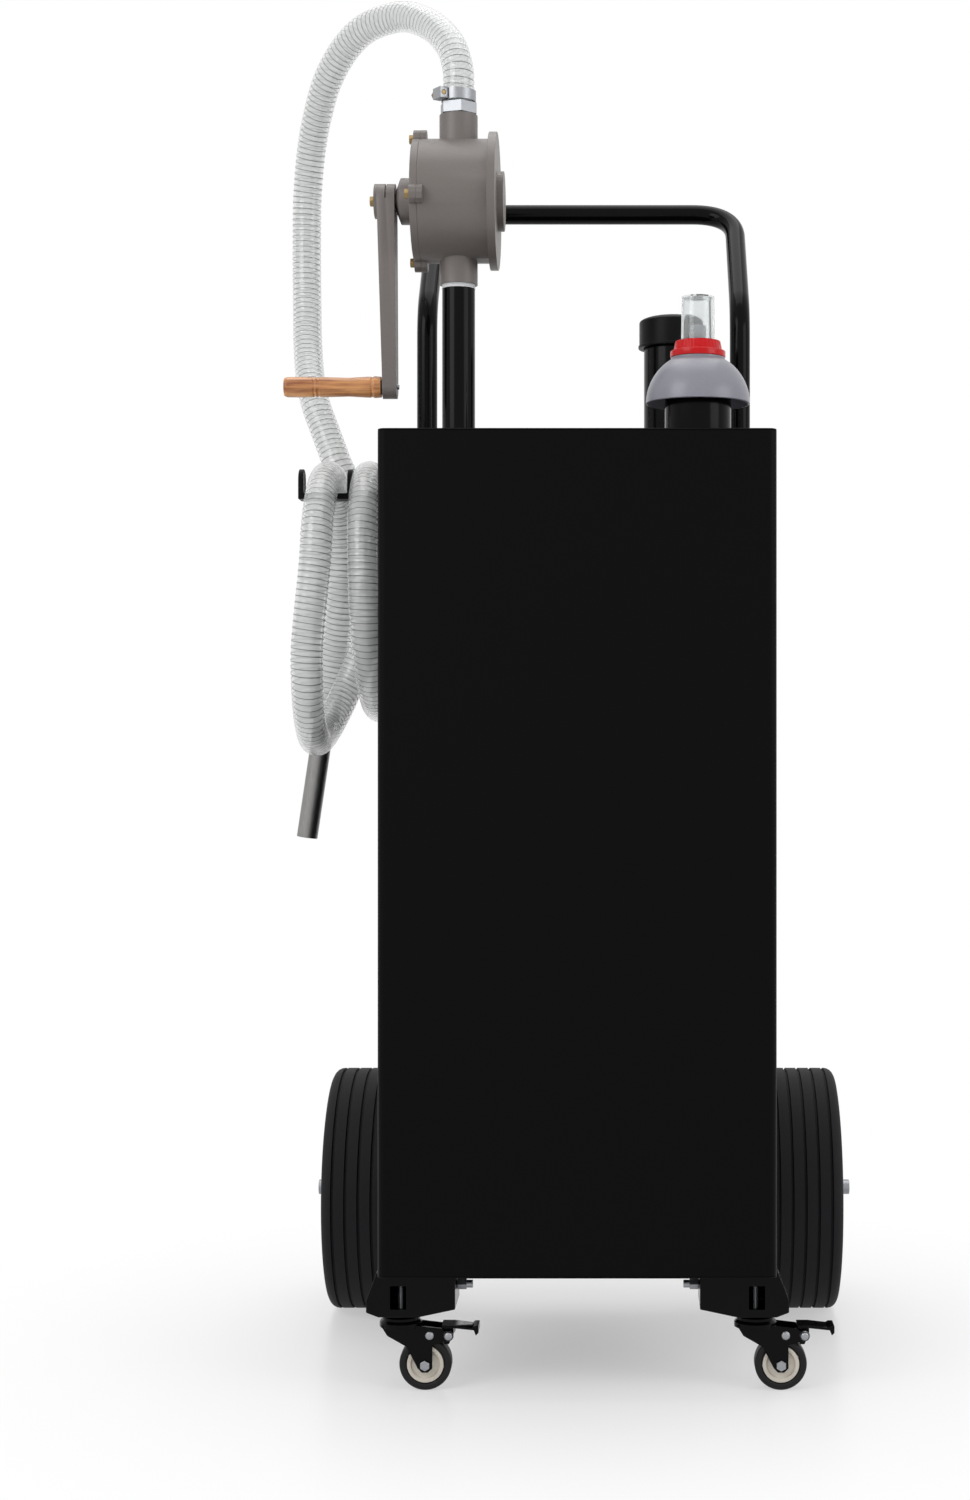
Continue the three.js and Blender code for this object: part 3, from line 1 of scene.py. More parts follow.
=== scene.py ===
"""Looks for a wheeled fuel caddy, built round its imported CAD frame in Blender 4.5.

Each sub-assembly is a class with its sizes in millimetres as fields. A new piece is a surface that
numpy works out on a grid, and a piece whose CAD form is right is a softened copy of its node.
"""

import json
import logging
import math
from dataclasses import dataclass
from enum import Enum
from typing import Any, Optional, Sequence

import bmesh
import bpy
import numpy as np
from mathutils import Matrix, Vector


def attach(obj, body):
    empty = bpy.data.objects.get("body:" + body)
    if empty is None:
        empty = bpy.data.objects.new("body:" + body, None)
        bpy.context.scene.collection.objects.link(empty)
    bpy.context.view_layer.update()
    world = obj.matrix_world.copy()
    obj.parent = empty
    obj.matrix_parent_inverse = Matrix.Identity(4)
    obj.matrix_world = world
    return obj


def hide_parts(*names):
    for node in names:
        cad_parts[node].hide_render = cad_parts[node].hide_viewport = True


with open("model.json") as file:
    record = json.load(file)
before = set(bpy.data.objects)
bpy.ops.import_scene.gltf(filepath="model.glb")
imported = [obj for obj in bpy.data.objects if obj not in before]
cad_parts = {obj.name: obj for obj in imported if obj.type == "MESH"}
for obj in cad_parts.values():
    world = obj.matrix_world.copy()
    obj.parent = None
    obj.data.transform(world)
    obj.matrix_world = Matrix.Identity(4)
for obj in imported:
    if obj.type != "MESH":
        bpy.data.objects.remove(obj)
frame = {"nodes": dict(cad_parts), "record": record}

LOG = logging.getLogger("fuel_caddy")
MM = 0.001
FRAME_SHIFT = np.array([4.5, 0.0, 0.0])  # the row frame's origin from the drawing's origin, in mm
PICTURE = (970, 1500)
TANK_TOP = 914.0  # the height of the tank's top face, in mm
FIT_GAP = 0.3  # the clearance between two pieces that fit, in mm
ROUND, LARGE_ROUND = 64, 96  # segments of a turned piece, and of one that shows large

SMOOTH_ANGLE = math.radians(35)  # edges sharper than this stay sharp in the shading
FLAT_ANGLE = math.radians(0.5)  # faces that meet at less than this become one
MERGE_DISTANCE = 1e-6  # in metres
TINY = 1e-6  # a length in mm that counts as none
CORNER_SHARE = 0.45  # the most of a side that one rounded corner takes
EDGE_CHORDS = 2  # chords across a rounded edge of a copied piece
NEARLY_UPRIGHT = 0.9  # an axis with more of its direction than this upright counts as upright
SPAN_CHORDS = 60  # chords between two points of a route, before it is sampled

NOISE_DETAIL, NOISE_ROUGHNESS = 5.0, 0.6
STREAK_RANGE = (0.36, 0.66)  # the noise levels between which a streak of wood turns from pale to dark
GLOSS_SPREAD = 0.15  # how far the grain moves a finish's roughness, as a share of it
COAT_ROUGHNESS = 0.08
WIRE_COVER = 0.9  # how much the wire hides of what is behind it
# along one turn of the hose's wire: the place as a share of the turn, and how much of it is wire
WIRE_STOPS = ((0.06, 0.8), (0.12, 0.0), (0.88, 0.0), (0.94, 0.8))

Points = Sequence[Sequence[float]]


class Direction(Enum):
    """The way that a turned piece's axis runs."""

    RIGHT = (1.0, 0.0, 0.0)
    BACK = (0.0, 1.0, 0.0)
    UP = (0.0, 0.0, 1.0)


class Surface(Enum):
    """How a finish's fine surface was made."""

    SPECKLED = "speckled"
    BRUSHED = "brushed"
    GRAINED = "grained"
    WIRE_WOUND = "wire wound"


def linear(colour: str) -> tuple[float, float, float, float]:
    """Turns an sRGB hex colour to linear light.

    Args:
        colour: six hex digits after a hash sign.

    Returns:
        Red, green, blue and an alpha of one.
    """
    parts = np.array([int(colour[i : i + 2], 16) for i in (1, 3, 5)]) / 255
    light = np.where(parts <= 0.04045, parts / 12.92, ((parts + 0.055) / 1.055) ** 2.4)
    return (*light.tolist(), 1.0)


def add_node(
    tree: bpy.types.NodeTree, kind: str, settings: dict[str, Any], inputs: dict[Any, Any]
) -> bpy.types.Node:
    """Adds a node with its settings and the values or links of its inputs.

    Args:
        tree: the node tree.
        kind: the node's Blender type.
        settings: attributes of the node.
        inputs: input name or number to a value, or to the output socket that feeds it.

    Returns:
        The new node.
    """
    node = tree.nodes.new(kind)
    for name, value in settings.items():
        setattr(node, name, value)
    for name, value in inputs.items():
        if isinstance(value, bpy.types.NodeSocket):
            tree.links.new(value, node.inputs[name])
        else:
            node.inputs[name].default_value = value
    return node


@dataclass(frozen=True)
class Finish:
    """A material as it is made: its colours, its gloss and its fine surface.

    The pattern's scale is one over its real size, so grain_mm is what the eye would measure. The
    marks of turning, drawing and grinding are finer than that in life, and are drawn as coarse as
    they need to show.
    """

    name: str
    slot: str
    colour: str
    second_colour: str
    roughness: float
    metallic: float = 0.0
    surface: Surface = Surface.SPECKLED
    grain_mm: float = 1.5
    bump_mm: float = 0.05
    stretch: tuple[float, float, float] = (1.0, 1.0, 1.0)
    specular: float = 0.5
    coat: float = 0.0
    transmission: float = 0.0
    alpha: float = 1.0
    ior: float = 1.5

    def grain(self, tree: bpy.types.NodeTree) -> bpy.types.NodeSocket:
        """Adds the pattern: noise of grain_mm in Object coordinates, or the hose's wire by its UV map.

        On wood the noise is spread to its full range, so that its streaks stand out.

        Args:
            tree: the material's node tree.

        Returns:
            The socket with the pattern from zero to one.
        """
        if self.surface is Surface.WIRE_WOUND:
            place = add_node(tree, "ShaderNodeUVMap", {"uv_map": "run"}, {})
            parts = add_node(tree, "ShaderNodeSeparateXYZ", {}, {0: place.outputs[0]})
            across, run = parts.outputs[0], parts.outputs[1]
            winding = add_node(tree, "ShaderNodeMath", {"operation": "ADD"}, {0: across, 1: run})
            turn = add_node(tree, "ShaderNodeMath", {"operation": "FRACT"}, {0: winding.outputs[0]})
            wire = add_node(tree, "ShaderNodeValToRGB", {}, {0: turn.outputs[0]})
            ramp = wire.color_ramp
            ramp.elements[0].position, ramp.elements[0].color = 0.0, (1, 1, 1, 1)
            ramp.elements[1].position, ramp.elements[1].color = 1.0, (1, 1, 1, 1)
            for position, level in WIRE_STOPS:
                ramp.elements.new(position).color = (level, level, level, 1)
            return wire.outputs[0]
        place = add_node(tree, "ShaderNodeTexCoord", {}, {})
        spread = add_node(
            tree, "ShaderNodeMapping", {}, {"Vector": place.outputs["Object"], "Scale": self.stretch}
        )
        noise = add_node(
            tree, "ShaderNodeTexNoise", {},
            {
                "Vector": spread.outputs[0], "Scale": 1 / (self.grain_mm * MM), "Detail": NOISE_DETAIL,
                "Roughness": NOISE_ROUGHNESS,
            },
        )
        if self.surface is not Surface.GRAINED:
            return noise.outputs[0]
        low, high = STREAK_RANGE
        streaks = add_node(tree, "ShaderNodeMapRange", {}, {0: noise.outputs[0], 1: low, 2: high})
        return streaks.outputs[0]

    def material(self) -> bpy.types.Material:
        """Makes the finish's material once.

        The pattern blends the two colours, moves the roughness a little and raises the surface. Where
        the finish lets one see through it, the pattern also hides more of what is behind.

        Returns:
            The material, the same one each time.
        """
        known = bpy.data.materials.get(self.name)
        if known:
            return known
        made = bpy.data.materials.new(self.name)
        made.use_nodes = True
        tree = made.node_tree
        shader = tree.nodes["Principled BSDF"]
        grain = self.grain(tree)
        blend = add_node(
            tree, "ShaderNodeMix", {"data_type": "RGBA"},
            {0: grain, 6: linear(self.colour), 7: linear(self.second_colour)},
        )
        tree.links.new(blend.outputs[2], shader.inputs["Base Color"])
        low, high = self.roughness * (1 - GLOSS_SPREAD), self.roughness * (1 + GLOSS_SPREAD)
        gloss = add_node(tree, "ShaderNodeMapRange", {}, {0: grain, 3: low, 4: min(1.0, high)})
        tree.links.new(gloss.outputs[0], shader.inputs["Roughness"])
        bump = add_node(
            tree, "ShaderNodeBump", {},
            {"Height": grain, "Distance": self.bump_mm * MM, "Strength": 1.0},
        )
        tree.links.new(bump.outputs[0], shader.inputs["Normal"])
        settings = {
            "Metallic": self.metallic, "Specular IOR Level": self.specular, "Coat Weight": self.coat,
            "Coat Roughness": COAT_ROUGHNESS, "Transmission Weight": self.transmission,
        }
        for name, value in settings.items():
            shader.inputs[name].default_value = value
        if self.alpha < 1.0:
            cover = add_node(tree, "ShaderNodeMapRange", {}, {0: grain, 3: self.alpha, 4: WIRE_COVER})
            tree.links.new(cover.outputs[0], shader.inputs["Alpha"])
        if not self.metallic:
            shader.inputs["IOR"].default_value = self.ior
        return made


# Baked enamel on folded sheet steel: a soft sheen with a faint orange peel.
ENAMEL = Finish(
    "enamel_black_satin", "black_paint", "#050506", "#08080a", 0.45, specular=0.06, grain_mm=2.5
)
# Baked enamel on tube and brackets: glossier, because the coat flows over round forms.
TUBE_ENAMEL = Finish(
    "enamel_black_gloss", "black_paint", "#040405", "#070709", 0.16, specular=0.09, grain_mm=6.0,
    bump_mm=0.03,
)
# Paint on sand-cast iron: the casting's grit shows through as a fine pebble.
CAST_PAINT = Finish(
    "paint_on_cast_iron", "pump_paint", "#6a6461", "#756e6a", 0.42, bump_mm=0.16, grain_mm=1.8
)
# Bright zinc plate on turned steel: cool grey with fine turning marks.
ZINC = Finish(
    "zinc_plate_bright", "zinc", "#808286", "#b0b2b5", 0.4, metallic=1.0, surface=Surface.BRUSHED,
    stretch=(0.2, 1.0, 1.0), grain_mm=0.8, bump_mm=0.02,
)
# Yellow passivated zinc on the screws: gold with a patchy green and brown tint.
YELLOW_ZINC = Finish(
    "zinc_plate_yellow", "yellow_zinc", "#75613a", "#a89268", 0.42, metallic=1.0, grain_mm=4.0,
    bump_mm=0.03,
)
# Ground steel inside the pump: bright and plain.
STEEL = Finish(
    "ground_steel", "steel", "#77787a", "#9c9d9f", 0.35, metallic=1.0, grain_mm=0.7, bump_mm=0.02
)
# Blued steel washer: nearly black.
DARK_STEEL = Finish(
    "blued_steel", "dark_steel", "#1c1c20", "#2c2c30", 0.4, metallic=1.0, bump_mm=0.02
)
# Moulded tyre rubber: matt, with a dusty bloom that greys it a little.
TYRE = Finish(
    "moulded_tyre_rubber", "tread_rubber", "#101012", "#1a1a1d", 0.72, specular=0.25, grain_mm=3.0,
    bump_mm=0.12,
)
# Moulded caster rubber: smoother than the tyre.
CASTER_RUBBER = Finish(
    "caster_rubber_black", "caster_rubber", "#0c0c0e", "#141416", 0.5, specular=0.25, bump_mm=0.04
)
# Moulded polypropylene rim: matt black with a fine spark texture.
RIM = Finish(
    "polypropylene_rim", "rim_plastic", "#0d0d0f", "#151517", 0.55, specular=0.25, grain_mm=1.2,
    bump_mm=0.06,
)
# Moulded nylon caster core: warm off-white.
CORE = Finish("nylon_core", "core_plastic", "#c9c1b4", "#ddd6ca", 0.45, grain_mm=2.0, bump_mm=0.03)
# Sintered vanes: dark grey.
VANE = Finish("sintered_vane", "vane_plastic", "#38383a", "#424244", 0.6, grain_mm=0.8)
# Thread-seal tape: white and slightly fibrous round the thread.
TAPE = Finish("thread_seal_tape", "seal_white", "#e2e2e4", "#f2f2f3", 0.6, grain_mm=1.0, bump_mm=0.2)
# Moulded cap: black with a soft spark texture.
CAP = Finish(
    "moulded_cap", "cap_plastic", "#08080a", "#0e0e10", 0.4, specular=0.09, grain_mm=1.0, bump_mm=0.05
)
# Smoke-grey polycarbonate bowl: light comes through its wall a little.
BOWL = Finish(
    "smoke_polycarbonate", "bowl_plastic", "#8f8f9b", "#a4a4ae", 0.3, transmission=0.25, bump_mm=0.02,
    ior=1.45,
)
# Moulded red collar: clean and glossy.
RED = Finish(
    "moulded_red_gloss", "red_plastic", "#c00a11", "#cc0f16", 0.25, specular=0.2, coat=0.08,
    grain_mm=6.0, bump_mm=0.02,
)
# Clear acrylic vial: mostly see-through, with bright edges.
ACRYLIC = Finish(
    "clear_acrylic", "clear_vial", "#eef1f1", "#f6f8f8", 0.06, transmission=0.9, bump_mm=0.0,
    grain_mm=8.0, ior=1.3,
)
# Float foam and its indicator: mid grey and matt.
FOAM = Finish("float_foam", "float_foam", "#85898e", "#9a9ea3", 0.6, grain_mm=1.2, bump_mm=0.1)
# Clear vinyl with a steel wire wound in its wall: see-through and shiny, a dark line at each turn.
VINYL = Finish(
    "wire_wound_vinyl", "hose_vinyl", "#e6e9e7", "#4c5250", 0.12, surface=Surface.WIRE_WOUND,
    bump_mm=0.0, alpha=0.36, coat=1.0,
)
# Drawn aluminium nozzle: satin with lengthwise draw marks.
NOZZLE_METAL = Finish(
    "drawn_aluminium", "nozzle_metal", "#7a7978", "#a2a1a0", 0.46, metallic=1.0,
    surface=Surface.BRUSHED, stretch=(1.0, 1.0, 0.12), grain_mm=1.4, bump_mm=0.03,
)
# Varnished beech: straw to brown streaks along the turned grip.
BEECH = Finish(
    "varnished_beech", "beech", "#e3a163", "#844419", 0.38, surface=Surface.GRAINED,
    stretch=(0.07, 1.0, 1.0), grain_mm=6.0, bump_mm=0.12, coat=0.25,
)


def in_frame(points: np.ndarray) -> np.ndarray:
    """Turns places from the drawing's millimetres to the frame's metres."""
    return (points + FRAME_SHIFT) * MM


def even_angles(count: int) -> np.ndarray:
    """The even angles of a full turn, in radians."""
    return np.arange(count) * 2 * np.pi / count


def run_along(line: np.ndarray) -> np.ndarray:
    """The length along a line at each of its points."""
    return np.r_[0, np.cumsum(np.linalg.norm(np.diff(line, axis=0), axis=1))]


def arcs(starts: np.ndarray, corners: np.ndarray, ends: np.ndarray, steps: int) -> np.ndarray:
    """Works out a quadratic arc at each corner, from its start to its end.

    Args:
        starts: where each arc starts.
        corners: the corners that the arcs bend towards.
        ends: where each arc ends.
        steps: chords in each arc.

    Returns:
        The arcs' points: corners by points by coordinates.
    """
    u = np.linspace(0, 1, steps + 1)[None, :, None]
    first = (1 - u) ** 2 * starts[:, None] + 2 * u * (1 - u) * corners[:, None]
    return first + u**2 * ends[:, None]


def softened(points: Points, radius: float, closed: bool = False, steps: int = 4) -> np.ndarray:
    """Rounds the corners of a profile.

    Each corner becomes a quadratic arc between two points that lie radius away from it towards its
    neighbours, or CORNER_SHARE of the way to a nearer neighbour.

    Args:
        points: the profile's corners.
        radius: how far from a corner its arc starts, in mm.
        closed: whether the profile ends where it starts.
        steps: chords in each arc.

    Returns:
        The rounded profile as an array of points.
    """
    corners = np.asarray(points, float)
    back, ahead = np.roll(corners, 1, axis=0) - corners, np.roll(corners, -1, axis=0) - corners
    ends = []
    for way in (back, ahead):
        length = np.linalg.norm(way, axis=1, keepdims=True)
        ends.append(corners + way * np.minimum(radius / np.maximum(length, TINY), CORNER_SHARE))
    bends = arcs(ends[0], corners, ends[1], steps)
    if closed:
        return bends.reshape(-1, 2)
    return np.vstack([corners[:1], bends[1:-1].reshape(-1, 2), corners[-1:]])


def turned(
    profile: np.ndarray, centre: Sequence[float], axis: Sequence[float], segments: int
) -> np.ndarray:
    """Turns a profile of radius and height about an axis.

    A point is the centre, plus its height along the axis, plus its radius across it at each of the
    even angles of a full turn.

    Args:
        profile: rows of radius and height, in mm.
        centre: where the height is zero.
        axis: the direction in which the height grows.
        segments: how many angles a turn has.

    Returns:
        A grid of points: profile rows by angles.
    """
    along = np.asarray(axis, float) / np.linalg.norm(axis)
    upright = abs(along[2]) >= NEARLY_UPRIGHT
    helper = np.array(Direction.RIGHT.value if upright else Direction.UP.value)
    across = np.cross(helper, along) / np.linalg.norm(np.cross(helper, along))
    other = np.cross(along, across)
    angle = even_angles(segments)[None, :, None]
    radius, height = profile[:, 0][:, None, None], profile[:, 1][:, None, None]
    ring = np.cos(angle) * across + np.sin(angle) * other
    return np.asarray(centre, float) + height * along + radius * ring


def smooth_route(points: Points, step: float) -> np.ndarray:
    """Runs a centripetal Catmull-Rom curve through points and samples it at even lengths.

    Args:
        points: the points that the curve passes, in mm.
        step: the length between two samples, about.

    Returns:
        The samples, with the first and last of the points as its ends.
    """
    spots = np.asarray(points, float)
    spots = spots[np.r_[True, np.linalg.norm(np.diff(spots, axis=0), axis=1) > TINY]]
    line = np.vstack([2 * spots[0] - spots[1], spots, 2 * spots[-1] - spots[-2]])
    gap = np.linalg.norm(np.diff(line, axis=0), axis=1)[:, None] ** 0.5
    p0, p1, p2, p3 = line[:-3], line[1:-2], line[2:-1], line[3:]
    g0, g1, g2 = gap[:-2], gap[1:-1], gap[2:]
    start = ((p1 - p0) / g0 - (p2 - p0) / (g0 + g1) + (p2 - p1) / g1) * g1
    end = ((p2 - p1) / g1 - (p3 - p1) / (g1 + g2) + (p3 - p2) / g2) * g1
    u = np.linspace(0, 1, SPAN_CHORDS, endpoint=False)[None, :, None]
    p1, p2, start, end = (part[:, None] for part in (p1, p2, start, end))
    square, cube = 3 * (p2 - p1) - 2 * start - end, 2 * (p1 - p2) + start + end
    cubic = p1 + start * u + square * u**2 + cube * u**3
    dense = np.vstack([cubic.reshape(-1, 3), spots[-1:]])
    run = run_along(dense)
    wanted = np.linspace(0, run[-1], max(2, round(run[-1] / step)) + 1)
    return np.stack([np.interp(wanted, run, dense[:, k]) for k in range(3)], axis=1)


def carried(route: np.ndarray, radius: np.ndarray, sidewards: Sequence[float]) -> np.ndarray:
    """Carries a circle along a route, square to it.

    A point is the route's point, plus the radius at the even angles of a turn about the route's own
    direction, counted from the direction that is square to both the route and sidewards.

    Args:
        route: the middle line, in mm.
        radius: one radius for each route point and angle.
        sidewards: a direction that the route never takes.

    Returns:
        A grid of points: route points by angles.
    """
    along = np.gradient(route, axis=0)
    along /= np.linalg.norm(along, axis=1, keepdims=True)
    across = np.cross(along, np.asarray(sidewards, float))
    across /= np.linalg.norm(across, axis=1, keepdims=True)
    other = np.cross(along, across)
    angle = even_angles(radius.shape[1])[None, :, None]
    ring = np.cos(angle) * across[:, None] + np.sin(angle) * other[:, None]
    return route[:, None] + radius[:, :, None] * ring


def added(name: str, data: bpy.types.ID) -> bpy.types.Object:
    """Adds an object to the scene.

    Args:
        name: its name.
        data: its mesh, lamp or camera.

    Returns:
        The new object.
    """
    made = bpy.data.objects.new(name, data)
    bpy.context.scene.collection.objects.link(made)
    return made


def cleaned(mesh: bpy.types.Mesh, flatten: bool = False) -> None:
    """Merges a mesh's doubles and points its faces outwards.

    Args:
        mesh: the mesh.
        flatten: whether faces that lie in one plane become one.
    """
    work = bmesh.new()
    work.from_mesh(mesh)
    bmesh.ops.remove_doubles(work, verts=work.verts, dist=MERGE_DISTANCE)
    if flatten:
        bmesh.ops.dissolve_limit(work, angle_limit=FLAT_ANGLE, verts=work.verts, edges=work.edges)
    bmesh.ops.recalc_face_normals(work, faces=work.faces)
    work.to_mesh(mesh)
    work.free()


def body_of_node(node: str) -> str:
    """Finds the CAD body that carries a node."""
    bodies = frame["record"]["behaviour"]["bodies"]
    return next(name for name, nodes in bodies.items() if node in nodes)


def finished(
    piece: bpy.types.Object, finish: Finish, nodes: Sequence[str], body: Optional[str]
) -> None:
    """Shades a piece, gives it its finish, and puts it in its nodes' place on their body.

    Args:
        piece: the new object, with its place in its mesh.
        finish: its material.
        nodes: the CAD nodes that it stands for.
        body: the body that it rides on, or None for that of its first node.
    """
    mesh = piece.data
    mesh.materials.clear()
    mesh.materials.append(finish.material())
    mesh.shade_smooth()
    mesh.set_sharp_from_angle(angle=SMOOTH_ANGLE)
    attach(piece, body or body_of_node(nodes[0]))
    if nodes:
        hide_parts(*nodes)
    LOG.info("%s: %d faces", piece.name, len(mesh.polygons))


def grid_piece(
    name: str,
    grid: np.ndarray,
    finish: Finish,
    nodes: Sequence[str] = (),
    body: Optional[str] = None,
    closed: bool = False,
    run: Optional[np.ndarray] = None,
) -> bpy.types.Object:
    """Makes a mesh from a grid of points that wraps round its second side.

    Args:
        name: the piece's name.
        grid: rows by columns of points in mm.
        finish: its material.
        nodes: the CAD nodes that it stands for.
        body: the body that it rides on, where that isn't its first node's.
        closed: whether the last row joins the first, as on a hollow piece.
        run: for each row, how many turns of wire lie before it, or -1 where the wall is plain.

    Returns:
        The new object.
    """
    rows, columns = grid.shape[:2]
    i, j = np.meshgrid(np.arange(rows if closed else rows - 1), np.arange(columns), indexing="ij")
    corner_row = np.stack([i, i + 1, i + 1, i], axis=-1).reshape(-1, 4)
    corner_column = np.stack([j, j, j + 1, j + 1], axis=-1).reshape(-1, 4)
    faces = (corner_row % rows) * columns + corner_column % columns
    mesh = bpy.data.meshes.new(name)
    mesh.from_pydata(in_frame(grid.reshape(-1, 3)).tolist(), [], faces.tolist())
    if run is not None:
        layer = mesh.uv_layers.new(name="run")
        turns, share = np.r_[run, run[:1]][corner_row], corner_column / columns
        turns = np.where(turns < 0, 0.5 - share, turns)
        layer.data.foreach_set("uv", np.stack([share, turns], axis=-1).ravel())
    cleaned(mesh)
    piece = added(name, mesh)
    finished(piece, finish, nodes, body)
    return piece


def softened_copy(node: str, name: str, finish: Finish, edge_mm: float) -> bpy.types.Object:
    """Copies a CAD node whose form is right, merges its triangles and rounds its edges.

    Args:
        node: the CAD node.
        name: the new piece's name.
        finish: its material.
        edge_mm: the radius that its edges get.

    Returns:
        The new object.
    """
    mesh = frame["nodes"][node].data.copy()
    mesh.name = name
    cleaned(mesh, flatten=True)
    piece = added(name, mesh)
    if edge_mm > 0:
        bevel = piece.modifiers.new("rounded_edges", "BEVEL")
        bevel.width = edge_mm * MM
        bevel.segments = EDGE_CHORDS
        bevel.limit_method = "ANGLE"
        bevel.angle_limit = SMOOTH_ANGLE
        bevel.harden_normals = False
    finished(piece, finish, [node], None)
    return piece


@dataclass
class Studio:
    """The pale floor, the lamps and the camera at the photograph's place."""

    focal_px: float = 2364.0  # focal length in the picture's own pixels
    sensor_mm: float = 36.0
    far_m: float = 50.0  # how far the camera sees
    distance: float = 2214.0  # from the tank's front panel
    height: float = 616.0
    side: float = 44.0
    axis_px: tuple[float, float] = (624.0, 746.0)
    front_y: float = -261.5
    floor_half: float = 6000.0
    fade_from: float = 0.0
    fade_to: float = 750.0
    near_white: float = 0.28  # the share of plain white where the fade starts
    floor_colour: str = "#f7f7f8"
    floor_roughness: float = 0.3
    floor_specular: float = 0.3
    room_light: float = 0.5  # how bright the backdrop is as a light
    lamp_aim: tuple[float, float, float] = (0.0, 0.0, 0.7)  # in metres
    # each lamp's name, place and side in metres, and watts
    lamps: Sequence[tuple[str, tuple[float, float, float], float, float]] = (
        ("key", (-2.2, -2.2, 2.4), 1.8, 38.0),
        ("fill", (2.4, -1.6, 1.6), 1.6, 20.0),
        ("top", (0.0, 0.4, 3.2), 2.2, 30.0),
    )

    def camera(self) -> None:
        """Makes the camera: level, facing the front panel, and shifted as the picture is framed."""
        lens = bpy.data.cameras.new("camera")
        lens.sensor_width = self.sensor_mm
        lens.lens = self.focal_px / PICTURE[1] * lens.sensor_width
        lens.shift_x = (PICTURE[0] / 2 - self.axis_px[0]) / PICTURE[1]
        lens.shift_y = (self.axis_px[1] - PICTURE[1] / 2) / PICTURE[1]
        lens.clip_end = self.far_m
        camera = added("camera", lens)
        place = np.array([self.side, self.front_y - self.distance, self.height])
        camera.location = Vector(in_frame(place).tolist())
        camera.rotation_euler = (math.pi / 2, 0.0, 0.0)
        bpy.context.scene.camera = camera

    def floor(self) -> None:
        """Makes the floor: white with a faint mirror, which turns to plain white away from the caddy.

        The share of plain white grows from near_white to one as a smooth step of the distance from
        the caddy's middle. Only the camera and glossy rays see it, so the floor near the caddy keeps
        its shadow, and the white adds no light.
        """
        half = self.floor_half * MM
        mesh = bpy.data.meshes.new("floor")
        corners = [(-half, -half, 0), (half, -half, 0), (half, half, 0), (-half, half, 0)]
        mesh.from_pydata(corners, [], [(0, 1, 2, 3)])
        floor = added("floor", mesh)
        made = bpy.data.materials.new("studio_floor")
        made.use_nodes = True
        shader = made.node_tree.nodes["Principled BSDF"]
        shader.inputs["Base Color"].default_value = linear(self.floor_colour)
        shader.inputs["Roughness"].default_value = self.floor_roughness
        shader.inputs["Specular IOR Level"].default_value = self.floor_specular
        tree = made.node_tree
        place = add_node(tree, "ShaderNodeTexCoord", {}, {})
        reach = add_node(
            tree, "ShaderNodeVectorMath", {"operation": "LENGTH"}, {0: place.outputs["Object"]}
        )
        start, stop = self.fade_from * MM, self.fade_to * MM
        far = add_node(
            tree, "ShaderNodeMapRange", {"interpolation_type": "SMOOTHSTEP"},
            {0: reach.outputs[1], 1: start, 2: stop, 3: self.near_white, 4: 1.0},
        )
        path = add_node(tree, "ShaderNodeLightPath", {}, {})
        seen = add_node(
            tree, "ShaderNodeMath", {"operation": "MAXIMUM"},
            {0: path.outputs["Is Camera Ray"], 1: path.outputs["Is Glossy Ray"]},
        )
        share = add_node(
            tree, "ShaderNodeMath", {"operation": "MULTIPLY"}, {0: far.outputs[0], 1: seen.outputs[0]}
        )
        white = add_node(tree, "ShaderNodeEmission", {}, {"Color": (1, 1, 1, 1), "Strength": 1.0})
        blend = add_node(
            tree, "ShaderNodeMixShader", {},
            {0: share.outputs[0], 1: shader.outputs[0], 2: white.outputs[0]},
        )
        tree.links.new(blend.outputs[0], tree.nodes["Material Output"].inputs[0])
        mesh.materials.append(made)

    def lamp(self, name: str, place: tuple[float, float, float], size: float, power: float) -> None:
        """Adds a soft area lamp that faces the caddy's middle.

        Args:
            name: the lamp's name.
            place: where it stands, in metres.
            size: its side, in metres.
            power: its watts.
        """
        light = bpy.data.lights.new(name, "AREA")
        light.size, light.energy = size, power
        lamp = added(name, light)
        lamp.location = place
        way = Vector(self.lamp_aim) - Vector(place)
        lamp.rotation_euler = way.to_track_quat("-Z", "Y").to_euler()

    def surroundings(self) -> None:
        """Sets a white backdrop that the camera and shiny pieces see, and a softer light from it."""
        world = bpy.data.worlds.new("studio")
        bpy.context.scene.world = world
        world.use_nodes = True
        tree = world.node_tree
        path = add_node(tree, "ShaderNodeLightPath", {}, {})
        seen = add_node(
            tree, "ShaderNodeMath", {"operation": "MAXIMUM"},
            {0: path.outputs["Is Camera Ray"], 1: path.outputs["Is Transmission Ray"]},
        )
        shown = add_node(
            tree, "ShaderNodeMath", {"operation": "MAXIMUM"},
            {0: seen.outputs[0], 1: path.outputs["Is Glossy Ray"]},
        )
        level = add_node(
            tree, "ShaderNodeMapRange", {}, {0: shown.outputs[0], 3: self.room_light, 4: 1.0}
        )
        back = tree.nodes["Background"]
        back.inputs[0].default_value = (1, 1, 1, 1)
        tree.links.new(level.outputs[0], back.inputs[1])

    def build(self) -> None:
        """Makes the camera, the floor, the lamps and the backdrop."""
        self.camera()
        self.floor()
        self.surroundings()
        for lamp in self.lamps:
            self.lamp(*lamp)
        bpy.context.scene.view_settings.view_transform = "Standard"


